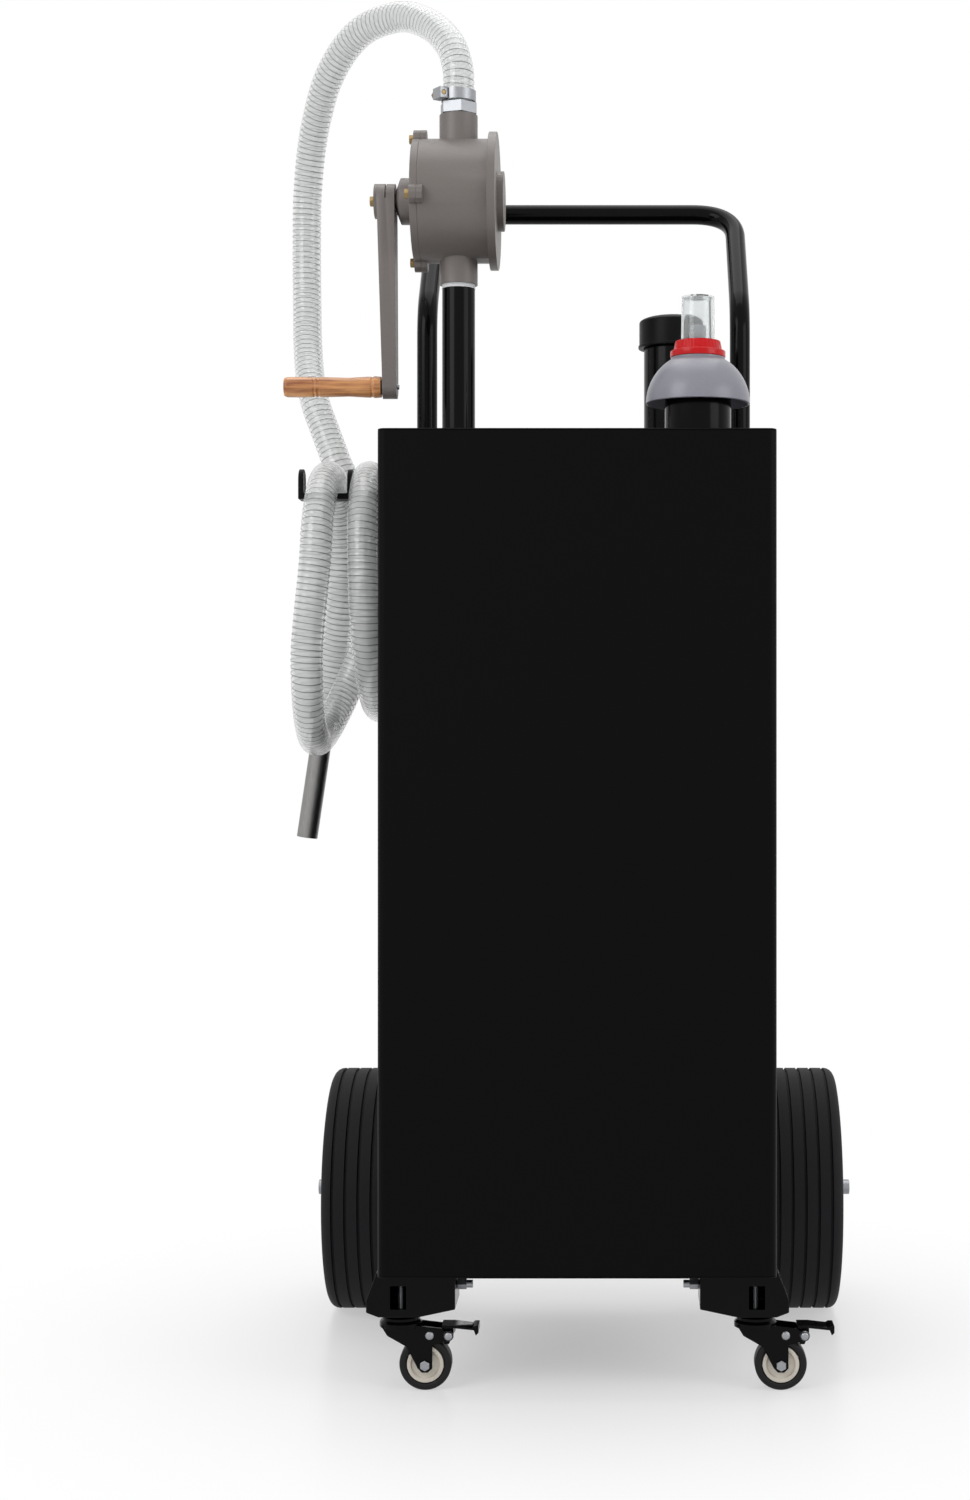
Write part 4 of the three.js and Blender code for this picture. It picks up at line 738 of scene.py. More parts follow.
@dataclass(frozen=True)
class WeldBead:
    """A weld bead round a tube's foot on the tank's top."""

    tube_radius: float
    x: float
    y: float
    width: float = 3.0
    height: float = 2.4
    overlap: float = 0.2  # how far it reaches into the tube
    ripple_share: float = 0.012
    ripples: int = 24
    segments: int = 72
    steps: int = 7

    def grid(self) -> np.ndarray:
        """Works out the bead: a quarter ellipse turned about the tube's axis.

        Its radius grows and shrinks by ripple_share as a sine with that many ripples in a turn.

        Returns:
            A closed grid of points.
        """
        angle = np.linspace(0, np.pi / 2, self.steps)
        arc = [self.tube_radius + self.width * np.cos(angle), self.height * np.sin(angle)]
        inner = self.tube_radius - self.overlap
        profile = np.vstack([[inner, 0.0], np.stack(arc, axis=1), [inner, self.height]])
        grid = turned(profile, (0.0, 0.0, TANK_TOP), Direction.UP.value, self.segments)
        wave = np.sin(even_angles(self.segments) * self.ripples)
        grid[..., :2] *= (1 + self.ripple_share * wave)[None, :, None]
        return grid + np.array([self.x, self.y, 0.0])

    def build(self, name: str) -> None:
        """Makes the bead as a piece of the caddy's body."""
        grid_piece(name, self.grid(), ENAMEL, body="caddy", closed=True)


@dataclass
class Hose:
    """The clear hose with its wire winding, and the metal nozzle on its end."""

    radius: float = 16.0
    bore: float = 12.5
    wire_pitch: float = 6.2
    wire_rise: float = 0.4
    samples_per_turn: int = 6
    sides: int = 20
    half_turn_steps: int = 8
    sidewards: tuple[float, float, float] = (0.8, 0.6, 0.0)  # about square to the arch's plane
    nozzle_radius: float = 11.0
    nozzle_wall: float = 2.0
    nozzle_length: float = 135.0
    nozzle_collar: float = 9.0
    nozzle_rim: float = 15.0  # the radius of its face against the hose
    nozzle_chamfer: float = 3.0
    nozzle_edge: float = 0.8
    nozzle_segments: int = 40
    end_samples: int = 4  # samples at the hose's end that give the nozzle's direction
    path_every: int = 3
    # the free stretch from the pump to where the coil starts
    lead: Points = (
        (-124, -74, 1269.5), (-124, -74, 1281), (-124, -74, 1296), (-126, -71, 1310), (-132, -62, 1329),
        (-149, -40, 1354), (-170, -17, 1371.5), (-190, 3, 1380.6), (-228.9, 35, 1378.7),
        (-253.9, 58, 1364.3), (-277, 85, 1336.6), (-290.3, 108, 1307), (-299.7, 128, 1276),
        (-306.6, 143, 1224), (-307.7, 146, 1169), (-306.6, 140, 1111.5), (-302.6, 118, 1052),
        (-295.9, 92, 1009.6), (-287, 73, 979.6), (-280.8, 67.25, 964.05), (-274.6, 61.5, 948.5),
    )
    coil_entry: Points = (
        (-274.6, 61.5, 948.5), (-268.4, 55.75, 932.95), (-262.2, 50, 917.4), (-240, 47, 872),
        (-220, 49, 825), (-207.5, 51, 790),
    )
    # each half turn's centre y and z, its radius, whether it goes over, and its side places
    half_turns: Sequence[tuple[float, float, float, bool, Sequence[float]]] = (
        (-56.5, 763.5, 107.5, False, (-206, -205.5, -210)),
        (-74, 799, 90, True, (-211, -213, -216)),
        (-74, 712, 90, False, (-233, -268, -266)),
        (-74, 799, 90, True, (-258, -255, -254)),
    )
    coil_exit: Points = (
        (-256.5, 24, 768), (-261.5, 36, 735), (-266, 43.5, 706), (-269.6, 46, 683),
        (-271.9, 46, 667.5), (-274.2, 46, 652),
    )

    def half_turn(
        self, y: float, z: float, radius: float, over: bool, drift: Sequence[float]
    ) -> np.ndarray:
        """Works out a half turn: an arc over or under its centre with a sine swing sideways.

        Args:
            y: the centre's place from front to back.
            z: the centre's height.
            radius: the arc's radius.
            over: whether it runs over its centre from front to back.
            drift: the side places at its start, middle and end.

        Returns:
            The points along it.
        """
        share = np.linspace(0, 1, self.half_turn_steps + 1)
        side, lift = np.cos(share * np.pi), -np.sin(share * np.pi)
        sign = -1.0 if over else 1.0
        start, middle, end = drift
        base = np.where(share < 0.5, start, end)
        x = base + (middle - base) * np.sin(share * np.pi)
        return np.stack([x, y + radius * side * sign, z + radius * lift * sign], axis=1)

    def route(self) -> np.ndarray:
        """Joins the free stretch and the coil, each a smooth curve, into one middle line.

        Returns:
            The line's points.
        """
        step = self.wire_pitch / self.samples_per_turn
        turns = [self.half_turn(*turn) for turn in self.half_turns]
        coil = np.vstack([self.coil_entry, *turns, self.coil_exit])
        return np.vstack([smooth_route(self.lead, step), smooth_route(coil, step)[1:]])

    def tube(self, route: np.ndarray, length: np.ndarray) -> bpy.types.Object:
        """Makes the ribbed tube: the radius dips between turns of the wire as a cosine of the winding.

        Args:
            route: the middle line.
            length: the length along it at each point.

        Returns:
            The new object.
        """
        around = np.arange(self.sides)[None, :] / self.sides
        winding = length[:, None] / self.wire_pitch + around
        outer_radius = self.radius - self.wire_rise * (0.5 - 0.5 * np.cos(winding * 2 * np.pi))
        outer = carried(route, outer_radius, self.sidewards)
        last = len(route) - 1
        inner_rows = np.r_[np.arange(0, last, self.samples_per_turn), last][::-1]
        inner = carried(route, np.full(outer_radius.shape, self.bore), self.sidewards)[inner_rows]
        run = np.r_[length / self.wire_pitch, np.full(len(inner_rows), -1.0)]
        grid = np.vstack([outer, inner])
        return grid_piece("clear_hose", grid, VINYL, ["hose_lead", "hose_coil"], closed=True, run=run)

    def build(self) -> None:
        route = self.route()
        length = run_along(route)
        hose = self.tube(route, length)
        bore = self.nozzle_radius - self.nozzle_wall
        profile = softened(
            (
                (bore, FIT_GAP), (self.nozzle_rim, FIT_GAP), (self.radius, self.nozzle_chamfer),
                (self.radius, self.nozzle_collar), (self.nozzle_radius, self.nozzle_collar),
                (self.nozzle_radius, self.nozzle_length), (bore, self.nozzle_length),
            ),
            self.nozzle_edge,
            closed=True,
        )
        way = route[-1] - route[-self.end_samples]
        grid = turned(profile, route[-1], way, self.nozzle_segments)
        nozzle = grid_piece("spout_nozzle", grid, NOZZLE_METAL, ["hose_nozzle"], closed=True)


@dataclass
class PushHandle:
    """The bent tube with two legs, knees that lean back and a cross bar."""

    radius: float = 11.0
    bore: float = 9.0
    half_width: float = 170.0
    leg_y: float = 95.0
    knee_z: float = 1087.0
    bar_y: float = 235.0
    bar_z: float = 1225.0
    knee_run: float = 28.0
    corner_run: float = 48.0
    sides: int = 32
    steps: int = 16
    off_plane: float = 0.02  # keeps the sideways direction off the cross bar's own

    def route(self) -> np.ndarray:
        """Works out the middle line: straight stretches with a quadratic bend at each corner.

        Returns:
            The line's points.
        """
        x = self.half_width
        corners = np.array([
            (-x, self.leg_y, TANK_TOP), (-x, self.leg_y, self.knee_z), (-x, self.bar_y, self.bar_z),
            (x, self.bar_y, self.bar_z), (x, self.leg_y, self.knee_z), (x, self.leg_y, TANK_TOP),
        ])
        runs = np.array([self.knee_run, self.corner_run, self.corner_run, self.knee_run])[:, None]
        back = corners[:-2] - corners[1:-1]
        ahead = corners[2:] - corners[1:-1]
        start = corners[1:-1] + back / np.linalg.norm(back, axis=1, keepdims=True) * runs
        end = corners[1:-1] + ahead / np.linalg.norm(ahead, axis=1, keepdims=True) * runs
        bends = arcs(start, corners[1:-1], end, self.steps)
        return np.vstack([corners[:1], bends.reshape(-1, 3), corners[-1:]])

    def build(self) -> None:
        """Makes the tube with its bore, and a weld bead round each foot."""
        route = self.route()
        sidewards = (self.off_plane, self.knee_z - self.bar_z, self.bar_y - self.leg_y)
        outer = carried(route, np.full((len(route), self.sides), self.radius), sidewards)
        inner = carried(route, np.full((len(route), self.sides), self.bore), sidewards)[::-1]
        tube = np.vstack([outer, inner])
        grid_piece("push_handle_tube", tube, TUBE_ENAMEL, ["push_handle"], closed=True)
        for side, sign in (("left", -1), ("right", 1)):
            WeldBead(self.radius, sign * self.half_width, self.leg_y).build(f"handle_weld_{side}")


@dataclass
class Wheels:
    """The two big wheels: a grooved tyre on a dished rim, on the rear axle."""

    radius: float = 130.0
    width: float = 80.0
    wheel_x: float = 235.0
    axle_y: float = 131.5
    bore: float = 58.0
    # the tyre's side from its bead outwards: how far from the bore, and how far in from the full width
    side_points: Points = ((0, 8), (8, 1.5), (18, 0.5), (20, 0), (44, 0), (46, 1))
    shoulder: float = 10.0
    shoulder_steps: int = 6
    groove_count: int = 5
    groove_pitch: float = 13.8
    groove_width: float = 3.2
    groove_depth: float = 3.0
    groove_foot_share: float = 0.6  # the width of a groove's foot as a share of its mouth
    rim_fit: float = 0.5
    rim_edge: float = 1.5
    rim_wall: float = 4.0
    rim_web: float = 8.0
    rim_inset: float = 8.0
    hub_radius: float = 21.0
    hub_length: float = 76.0
    hub_taper: float = 3.0
    axle_radius: float = 8.3
    nut_edge: float = 0.8
    bracket_edge: float = 0.8
    axle_edge: float = 0.5

    def tyre_profile(self) -> np.ndarray:
        """Works out the tyre's section: bead, bulged side, round shoulder and the tread's grooves.

        Returns:
            The section as rows of radius and height.
        """
        half = self.width / 2
        side = np.array([self.bore, half]) + np.asarray(self.side_points, float) * (1, -1)
        turn = np.linspace(0, np.pi / 2, self.shoulder_steps)
        shoulder = np.stack([
            self.radius - self.shoulder * (1 - np.sin(turn)),
            half - self.shoulder * (1 - np.cos(turn)),
        ], axis=1)
        middles = (np.arange(self.groove_count) - (self.groove_count - 1) / 2) * self.groove_pitch
        cut, floor = self.groove_width / 2, self.radius - self.groove_depth
        foot = cut * self.groove_foot_share
        groove = np.array([(self.radius, -cut), (floor, -foot), (floor, foot), (self.radius, cut)])
        tread = np.concatenate([groove + (0, middle) for middle in middles])
        half_profile = np.vstack([side, shoulder])
        other = half_profile * np.array([1.0, -1.0])
        return np.vstack([other, tread, half_profile[::-1]])

    def rim_profile(self) -> np.ndarray:
        """Works out the rim's section: a drum with a web and a tapered hub.

        Returns:
            The section as rows of radius and height.
        """
        outer = self.bore - self.rim_fit
        inner, hub_end = outer - self.rim_wall, self.hub_radius - self.hub_taper
        half, web, hub = self.width / 2 - self.rim_inset, self.rim_web / 2, self.hub_length / 2
        return softened(
            (
                (self.axle_radius, -hub), (hub_end, -hub), (self.hub_radius, -web), (inner, -web),
                (inner, -half), (outer, -half), (outer, half), (inner, half), (inner, web),
                (self.hub_radius, web), (hub_end, hub), (self.axle_radius, hub),
            ),
            self.rim_edge,
            closed=True,
        )

    def build(self) -> None:
        """Makes both tyres and rims, and dresses the axle, its nuts and its brackets."""
        for side, sign in (("left", -1), ("right", 1)):
            centre = (sign * self.wheel_x, self.axle_y, self.radius)
            tyre = turned(self.tyre_profile(), centre, Direction.RIGHT.value, LARGE_ROUND)
            grid_piece(f"tyre_tread_{side}", tyre, TYRE, [f"tyre_{side}"], closed=True)
            rim = turned(self.rim_profile(), centre, Direction.RIGHT.value, ROUND)
            grid_piece(f"rim_drum_{side}", rim, RIM, [f"wheel_rim_{side}"], closed=True)
            softened_copy(f"axle_nut_{side}", f"axle_nut_plated_{side}", ZINC, self.nut_edge)
            bracket = f"axle_bracket_{side}"
            softened_copy(bracket, f"axle_angle_{side}", TUBE_ENAMEL, self.bracket_edge)
        softened_copy("rear_axle", "axle_rod", ZINC, self.axle_edge)


@dataclass
class Casters:
    """The two braked swivel casters under the front edge."""

    swivel_x: float = 170.0
    swivel_y: float = -206.5
    trail: float = 24.0
    radius: float = 25.0
    width: float = 20.0
    core_radius: float = 17.5
    core_edge: float = 0.5
    core_segments: int = 48
    shoulder: float = 3.2
    shoulder_steps: int = 6
    dish_radius: float = 13.0
    dish_depth: float = 2.0
    dish_slope: float = 1.0
    hub_radius: float = 7.0
    axle_bore: float = 3.3
    cheek_outer: float = 13.25
    rivet_segments: int = 24
    rivet_steps: int = 8
    # each rivet's owner, its place to the right of the swivel axis and above the floor, and the
    # radius and rise of its head
    rivets: Sequence[tuple[str, tuple[float, float], tuple[float, float]]] = (
        ("fork", (28.4, 53.3), (4.2, 1.8)),
        ("pedal", (46.5, 53.0), (5.0, 3.4)),
    )
    # each dressed node, its piece's name, its finish and the radius of its edges
    dressed: Sequence[tuple[str, str, Finish, float]] = (
        ("caster_fork", "fork_pressing", TUBE_ENAMEL, 0.6),
        ("brake_pedal", "pedal_pressing", TUBE_ENAMEL, 0.5),
        ("caster_bracket", "bracket_box", TUBE_ENAMEL, 0.9),
        ("bracket_bolt", "bracket_screw", ZINC, 0.4),
        ("caster_stem", "swivel_stem", ZINC, 0.3),
        ("caster_axle", "caster_pin", ZINC, 0.4),
    )

    def rivet(
        self, name: str, centre: Sequence[float], way: float, size: tuple[float, float], body: str
    ) -> None:
        """Makes a rivet's domed head: a quarter ellipse turned about its axis.

        Args:
            name: the piece's name.
            centre: the middle of its seat.
            way: plus or minus one, for the side on which it stands proud.
            size: its radius and its rise.
            body: the body that it rides on.
        """
        angle = np.linspace(0, np.pi / 2, self.rivet_steps)
        dome = np.stack([size[0] * np.cos(angle), size[1] * np.sin(angle)], axis=1)
        profile = np.vstack([[0.0, 0.0], dome])
        grid = turned(profile, centre, (0.0, way, 0.0), self.rivet_segments)
        grid_piece(name, grid, ZINC, body=body)

    def tread_profile(self) -> np.ndarray:
        """Works out the tread's section: a flat band with round shoulders.

        Returns:
            The section as rows of radius and height.
        """
        half, inner = self.width / 2, self.core_radius + FIT_GAP
        corners = ((inner, -half), (self.radius, -half), (self.radius, half), (inner, half))
        return softened(corners, self.shoulder, closed=True, steps=self.shoulder_steps)

    def core_profile(self) -> np.ndarray:
        """Works out the core's section: a dished disc with a hub.

        Returns:
            The section as rows of radius and height.
        """
        half = self.width / 2
        dish, brim = half - self.dish_depth, self.dish_radius + self.dish_slope
        return softened(
            (
                (self.axle_bore, -half), (self.hub_radius, -half), (self.hub_radius, -dish),
                (self.dish_radius, -dish), (brim, -half), (self.core_radius, -half),
                (self.core_radius, half), (brim, half), (self.dish_radius, dish),
                (self.hub_radius, dish), (self.hub_radius, half), (self.axle_bore, half),
            ),
            self.core_edge,
            closed=True,
            steps=3,
        )

    def build(self) -> None:
        """Makes each caster's wheel and dresses its steel pieces."""
        for side, sign in (("left", -1), ("right", 1)):
            centre = (sign * self.swivel_x + self.trail, self.swivel_y, self.radius)
            tread = turned(self.tread_profile(), centre, Direction.BACK.value, ROUND)
            nodes = [f"caster_tread_{side}"]
            grid_piece(f"caster_tyre_{side}", tread, CASTER_RUBBER, nodes, closed=True)
            core = turned(self.core_profile(), centre, Direction.BACK.value, self.core_segments)
            grid_piece(f"caster_disc_{side}", core, CORE, [f"caster_core_{side}"], closed=True)
            for node, name, finish, edge in self.dressed:
                softened_copy(f"{node}_{side}", f"{name}_{side}", finish, edge)
            for owner, (across, height), size in self.rivets:
                for face, way in (("front", -1.0), ("back", 1.0)):
                    cheek = self.swivel_y + way * self.cheek_outer
                    seat = (sign * self.swivel_x + across, cheek, height)
                    self.rivet(f"{owner}_rivet_{face}_{side}", seat, way, size, f"{side}_{owner}")


@dataclass
class FloatGauge:
    """The float gauge: a neck with its plug, a smoke bowl, a red collar and a clear vial."""

    x: float = 115.0
    y: float = -205.0
    neck_radius: float = 31.75
    neck_wall: float = 3.0
    neck_edge: float = 0.8
    neck_top: float = 972.5
    plug_z: float = 964.5
    spigot_radius: float = 22.0
    spigot_bore: float = 9.5
    spigot_top: float = 993.5
    bowl_radius: float = 50.0
    bowl_rim: float = 944.1
    bowl_neck_radius: float = 26.0
    bowl_neck_top: float = 988.5
    bowl_sheet: float = 2.0
    bowl_steps: int = 20
    # the bowl's rim: how far in from the full radius, and how far up
    bowl_lip: Points = ((1.2, 0.0), (0.0, 0.6))
    collar_height: float = 16.0
    collar_bore: float = 22.3
    collar_edge: float = 0.7
    flange_radius: float = 26.5
    flange_height: float = 6.0
    flange_step: float = 0.4
    nut_foot: float = 23.5
    nut_top: float = 21.5
    vial_radius: float = 16.35
    vial_top_radius: float = 15.75
    vial_top: float = 1047.2
    vial_sheet: float = 1.5
    vial_flange: float = 3.0
    vial_flange_height: float = 2.5
    vial_edge: float = 0.25
    rib_count: int = 36
    rib_samples: int = 6
    rib_depth: float = 0.7
    rib_from: float = 7.5  # above the bowl's neck
    rib_inner: float = 21.0  # what lies nearer to the axis stays smooth
    float_foot: float = 119.0
    float_height: float = 60.0
    float_radius: float = 22.0
    rod_radius: float = 3.0
    mark_radius: float = 8.0
    mark_rise: float = 2.0  # above the spigot
    mark_height: float = 24.0
    float_edge: float = 1.5
    float_segments: int = 32

    def neck_profile(self) -> np.ndarray:
        """Works out the neck's section: a tube, its plug and the spigot.

        Returns:
            The section as rows of radius and height.
        """
        inner = self.neck_radius - self.neck_wall
        return softened(
            (
                (inner, TANK_TOP), (self.neck_radius, TANK_TOP),
                (self.neck_radius, self.neck_top), (self.spigot_radius, self.neck_top),
                (self.spigot_radius, self.spigot_top), (self.spigot_bore, self.spigot_top),
                (self.spigot_bore, self.plug_z), (inner, self.plug_z),
            ),
            self.neck_edge,
            closed=True,
        )

    def bowl_profile(self) -> np.ndarray:
        """Works out the bowl's section: two concentric arcs of a sphere and a short neck.

        Returns:
            The section as rows of radius and height.
        """
        last = math.acos(self.bowl_neck_radius / self.bowl_radius)
        angle = np.linspace(0, last, self.bowl_steps)
        arc = np.stack([np.cos(angle), np.sin(angle)], axis=1)
        outer = arc * self.bowl_radius + (0, self.bowl_rim)
        inner = arc * (self.bowl_radius - self.bowl_sheet) + (0, self.bowl_rim)
        lip = np.array([self.bowl_radius, self.bowl_rim]) + np.asarray(self.bowl_lip) * (-1, 1)
        seat, top = self.spigot_radius + FIT_GAP, self.bowl_neck_top
        neck = ((self.bowl_neck_radius, top), (seat, top), (seat, inner[-1, 1]))
        return np.vstack([lip, outer[1:], neck, inner[::-1]])

    def collar_profile(self) -> np.ndarray:
        """Works out the collar's section: a flange below a tapered nut with its ledge inside.

        Returns:
            The section as rows of radius and height.
        """
        foot, top = self.bowl_neck_top + FIT_GAP, self.bowl_neck_top + self.collar_height
        flange, throat = foot + self.flange_height, self.vial_radius + FIT_GAP
        ledge = self.spigot_top + self.vial_flange_height + 2 * FIT_GAP
        return softened(
            (
                (self.collar_bore, foot), (self.flange_radius, foot), (self.flange_radius, flange),
                (self.nut_foot, flange + self.flange_step), (self.nut_top, top), (throat, top),
                (throat, ledge), (self.collar_bore, ledge),
            ),
            self.collar_edge,
            closed=True,
        )

    def collar(self) -> np.ndarray:
        """Turns the collar and presses grip ribs into its upper half as a cosine round it.

        Returns:
            A closed grid of points.
        """
        samples = self.rib_count * self.rib_samples
        grid = turned(self.collar_profile(), (self.x, self.y, 0), Direction.UP.value, samples)
        angle = even_angles(samples)
        offset = grid[..., :2] - np.array([self.x, self.y])
        radius = np.linalg.norm(offset, axis=-1, keepdims=True)
        ribbed = (grid[..., 2:] > self.bowl_neck_top + self.rib_from) & (radius > self.rib_inner)
        press = self.rib_depth / 2 * (1 - np.cos(angle * self.rib_count))
        grid[..., :2] -= ribbed * offset / radius * press[:, None]
        return grid

    def vial_profile(self) -> np.ndarray:
        """Works out the vial's section: a flange, a slightly tapered wall and a flat top.

        Returns:
            The section as rows of radius and height.
        """
        seat, ceiling = self.spigot_top + FIT_GAP, self.vial_top - self.vial_sheet
        step, flange = seat + self.vial_flange_height, self.vial_radius + self.vial_flange
        return softened(
            (
                (self.vial_radius - self.vial_sheet, seat), (flange, seat), (flange, step),
                (self.vial_radius, step), (self.vial_top_radius, self.vial_top), (0, self.vial_top),
                (0, ceiling), (self.vial_top_radius - self.vial_sheet, ceiling),
            ),
            self.vial_edge,
            closed=True,
        )

    def float_profile(self) -> np.ndarray:
        """Works out the section of the float, its rod and the indicator at the rod's top.

        Returns:
            The section as rows of radius and height.
        """
        low, high = self.float_foot, self.float_foot + self.float_height
        mark = self.spigot_top + self.mark_rise
        top = mark + self.mark_height
        return softened(
            (
                (0, low), (self.float_radius, low), (self.float_radius, high), (self.rod_radius, high),
                (self.rod_radius, mark), (self.mark_radius, mark), (self.mark_radius, top), (0, top),
            ),
            self.float_edge,
        )

    def build(self) -> None:
        """Makes the neck, bowl, collar, vial and float."""
        place = (self.x, self.y, 0.0)
        up = Direction.UP.value
        neck = turned(self.neck_profile(), place, up, ROUND)
        grid_piece("gauge_neck_tube", neck, TUBE_ENAMEL, ["gauge_neck"], closed=True)
        bowl = turned(self.bowl_profile(), place, up, LARGE_ROUND)
        grid_piece("gauge_smoke_bowl", bowl, BOWL, ["gauge_bowl"], closed=True)
        grid_piece("gauge_red_collar", self.collar(), RED, ["gauge_collar"], closed=True)
        vial = turned(self.vial_profile(), place, up, ROUND)
        grid_piece("gauge_clear_vial", vial, ACRYLIC, ["gauge_vial"], closed=True)
        rod = turned(self.float_profile(), place, up, self.float_segments)
        grid_piece("gauge_float_rod", rod, FOAM, ["gauge_float"])
        WeldBead(self.neck_radius, self.x, self.y).build("gauge_neck_weld")


@dataclass
class Filler:
    """The filler neck and its screwed cap."""

    x: float = 95.0
    y: float = -6.0
    radius: float = 30.15
    wall: float = 3.0
    top: float = 1055.0
    cap_radius: float = 35.0
    skirt: float = 1030.5
    crown: float = 1057.0
    dome: float = 8.0
    dome_steps: int = 12
    lip: float = 1.0
    lip_height: float = 3.0
    neck_edge: float = 0.8
    cap_edge: float = 0.7

    def build(self) -> None:
        """Makes the neck, the domed cap with its lip, and the weld bead."""
        place, up = (self.x, self.y, 0.0), Direction.UP.value
        inner = self.radius - self.wall
        neck = ((inner, TANK_TOP), (self.radius, TANK_TOP), (self.radius, self.top), (inner, self.top))
        grid = turned(softened(neck, self.neck_edge, closed=True), place, up, ROUND)
        grid_piece("fill_neck_tube", grid, TUBE_ENAMEL, ["fill_neck"], closed=True)
        seat, ceiling = self.radius + FIT_GAP, self.top + FIT_GAP
        lip, lip_top = self.cap_radius + self.lip, self.skirt + self.lip_height
        turn = np.linspace(0, np.pi / 2, self.dome_steps)
        dome = np.stack([self.cap_radius * np.cos(turn), self.crown + self.dome * np.sin(turn)], axis=1)
        skirt = softened(
            (
                (0, ceiling), (seat, ceiling), (seat, self.skirt), (lip, self.skirt), (lip, lip_top),
                (self.cap_radius, lip_top), (self.cap_radius, self.crown),
            ),
            self.cap_edge,
        )
        grid = turned(np.vstack([skirt, dome[1:]]), place, up, LARGE_ROUND)
        grid_piece("screw_cap", grid, CAP, ["fill_cap"])
        WeldBead(self.radius, self.x, self.y).build("fill_neck_weld")


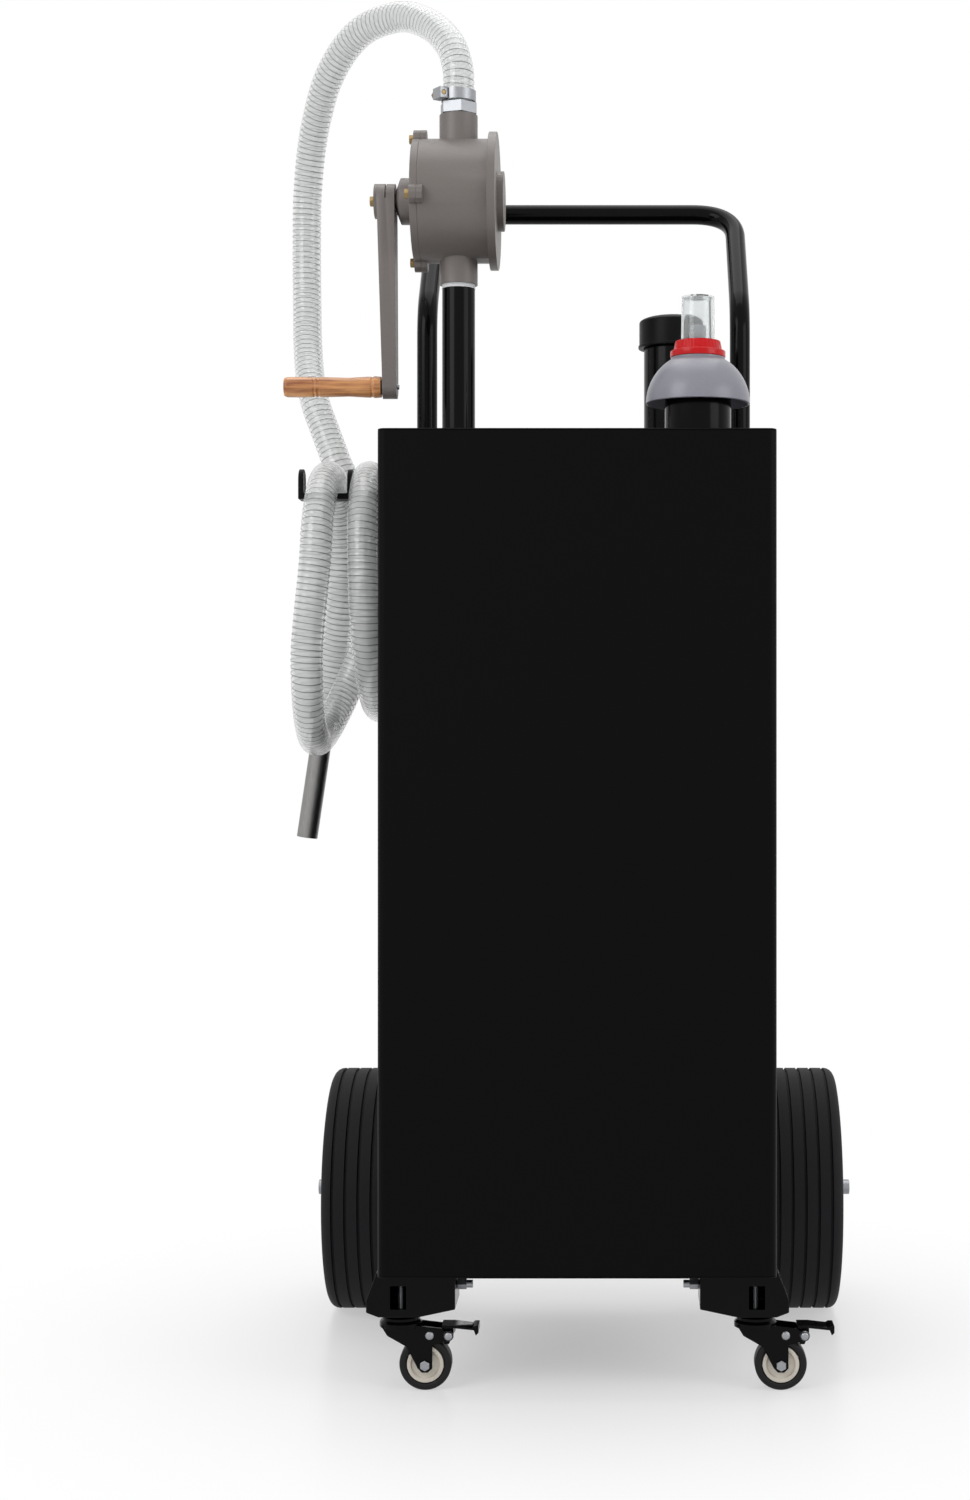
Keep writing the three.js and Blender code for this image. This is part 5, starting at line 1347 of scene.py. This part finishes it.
@dataclass
class Pump:
    """The rotary hand pump: its castings, its crank with the beech grip, and its pipes."""

    pipe_x: float = -124.0
    y: float = -74.0
    pipe_radius: float = 16.7
    pipe_bore: float = 13.5
    pipe_foot: float = 139.0
    pipe_shoulder: float = 1080.0
    thread_radius: float = 15.4
    thread_length: float = 16.0
    pipe_edge: float = 0.6
    pipe_bead: float = 0.4  # how much wider than the pipe its weld bead starts
    tape_radius: float = 16.6
    tape_ripple: float = 0.35
    tape_width: float = 4.0
    tape_turns: int = 3
    tape_steps: int = 13
    grip_left: float = -301.0
    grip_right: float = -202.25
    crank_foot_z: float = 980.5
    grip_edge: float = 0.7
    # the grip's outline in four runs, each point as its radius and its place along the grip from
    # the left end, the bead's middle, the waist and the right end
    grip_start: Points = ((4.3, 3), (6.8, 3), (6.8, 0), (9.0, 0), (10.25, 3), (10.4, 16))
    grip_bead: Points = ((10.25, -3.4), (9.1, -2.2), (10.7, 0), (9.1, 2.2), (10.25, 3.4))
    grip_waist: Points = ((9.5, 0),)
    grip_end: Points = ((10.4, -18), (10.7, -11), (9.9, -9), (11.15, -7), (10.6, 0), (4.3, 0))
    # each dressed node, its piece's name, its finish and the radius of its edges
    dressed: Sequence[tuple[str, str, Finish, float]] = (
        ("pump_housing", "pump_casting", CAST_PAINT, 1.2),
        ("pump_cover", "cover_casting", CAST_PAINT, 1.0),
        ("crank_arm", "crank_casting", CAST_PAINT, 1.0),
        *((f"cover_bolt_{i}", f"cover_screw_{i}", YELLOW_ZINC, 0.5) for i in range(1, 5)),
        ("crank_screw", "crank_retainer", YELLOW_ZINC, 0.6),
        ("clamp_screw", "clamp_worm", YELLOW_ZINC, 0.4),
        ("hose_clamp", "clamp_band", ZINC, 0.3),
        ("outlet_fitting", "outlet_hex", ZINC, 0.6),
        ("grip_pin", "grip_rivet", STEEL, 0.4),
        ("grip_washer", "grip_shim", DARK_STEEL, 0.2),
        ("pump_shaft", "drive_shaft", STEEL, 0.4),
        ("pump_rotor", "slotted_rotor", STEEL, 0.3),
        ("pump_vane_1", "vane_upper", VANE, 0.3),
        ("pump_vane_2", "vane_lower", VANE, 0.3),
    )

    def suction_pipe(self) -> None:
        """Makes the pipe with its threaded end, the tape on the thread and the weld at the tank."""
        place, up = (self.pipe_x, self.y, 0.0), Direction.UP.value
        shoulder, end = self.pipe_shoulder, self.pipe_shoulder + self.thread_length
        pipe = softened(
            (
                (self.pipe_bore, self.pipe_foot), (self.pipe_radius, self.pipe_foot),
                (self.pipe_radius, shoulder), (self.thread_radius, shoulder),
                (self.thread_radius, end), (self.pipe_bore, end),
            ),
            self.pipe_edge,
            closed=True,
        )
        grid = turned(pipe, place, up, ROUND)
        grid_piece("riser_pipe", grid, TUBE_ENAMEL, ["suction_pipe"], closed=True)
        share = np.linspace(0, 1, self.tape_steps)
        height = shoulder + share * self.tape_width
        outer = self.tape_radius + self.tape_ripple * np.cos(share * 2 * np.pi * self.tape_turns)
        seat = self.thread_radius + FIT_GAP
        tape = np.vstack([np.stack([outer, height], axis=1), [(seat, height[-1]), (seat, height[0])]])
        grid = turned(tape, place, up, ROUND)
        grid_piece("seal_tape_wrap", grid, TAPE, ["thread_seal"], closed=True)
        WeldBead(self.pipe_radius + self.pipe_bead, self.pipe_x, self.y).build("riser_weld")

    def grip(self) -> None:
        """Turns the beech grip: a bead between two grooves, a waist and a flare, with round ends."""
        left, right = self.grip_left, self.grip_right
        bead = left + (right - left) / 3
        runs = (
            (left, self.grip_start), (bead, self.grip_bead), ((bead + right) / 2, self.grip_waist),
            (right, self.grip_end),
        )
        outline = np.vstack([np.asarray(run, float) + (0, place) for place, run in runs])
        profile = softened(outline, self.grip_edge, closed=True)
        centre = (0.0, self.y, self.crank_foot_z)
        grid = turned(profile, centre, Direction.RIGHT.value, ROUND)
        grid_piece("turned_beech_grip", grid, BEECH, ["crank_grip"], closed=True)

    def build(self) -> None:
        """Makes the pipe and the grip, and dresses the castings, the crank and the fittings."""
        self.suction_pipe()
        self.grip()
        for row in self.dressed:
            softened_copy(*row)


@dataclass
class Tank:
    """The folded and welded tank with the hose's hook on its side."""

    # each dressed node, its piece's name, its finish and the radius of its edges
    dressed: Sequence[tuple[str, str, Finish, float]] = (
        ("tank_shell", "folded_wrap", ENAMEL, 0.0),
        ("tank_top", "tank_lid", ENAMEL, 0.9),
        ("tank_bottom", "tank_floor", ENAMEL, 0.9),
        ("hose_hook", "side_hook", CAP, 0.8),
    )

    def build(self) -> None:
        """Dresses the wrap, the top, the bottom and the hook."""
        for row in self.dressed:
            softened_copy(*row)


def main() -> None:
    """Builds the studio and the caddy's sub-assemblies in order."""
    logging.basicConfig(level=logging.INFO, format="%(message)s")
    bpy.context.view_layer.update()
    Studio().build()
    for part in (Hose(), PushHandle(), Tank(), Pump(), FloatGauge(), Filler(), Wheels(), Casters()):
        part.build()
        LOG.info("built %s", type(part).__name__)


if __name__ == "__main__":
    main()
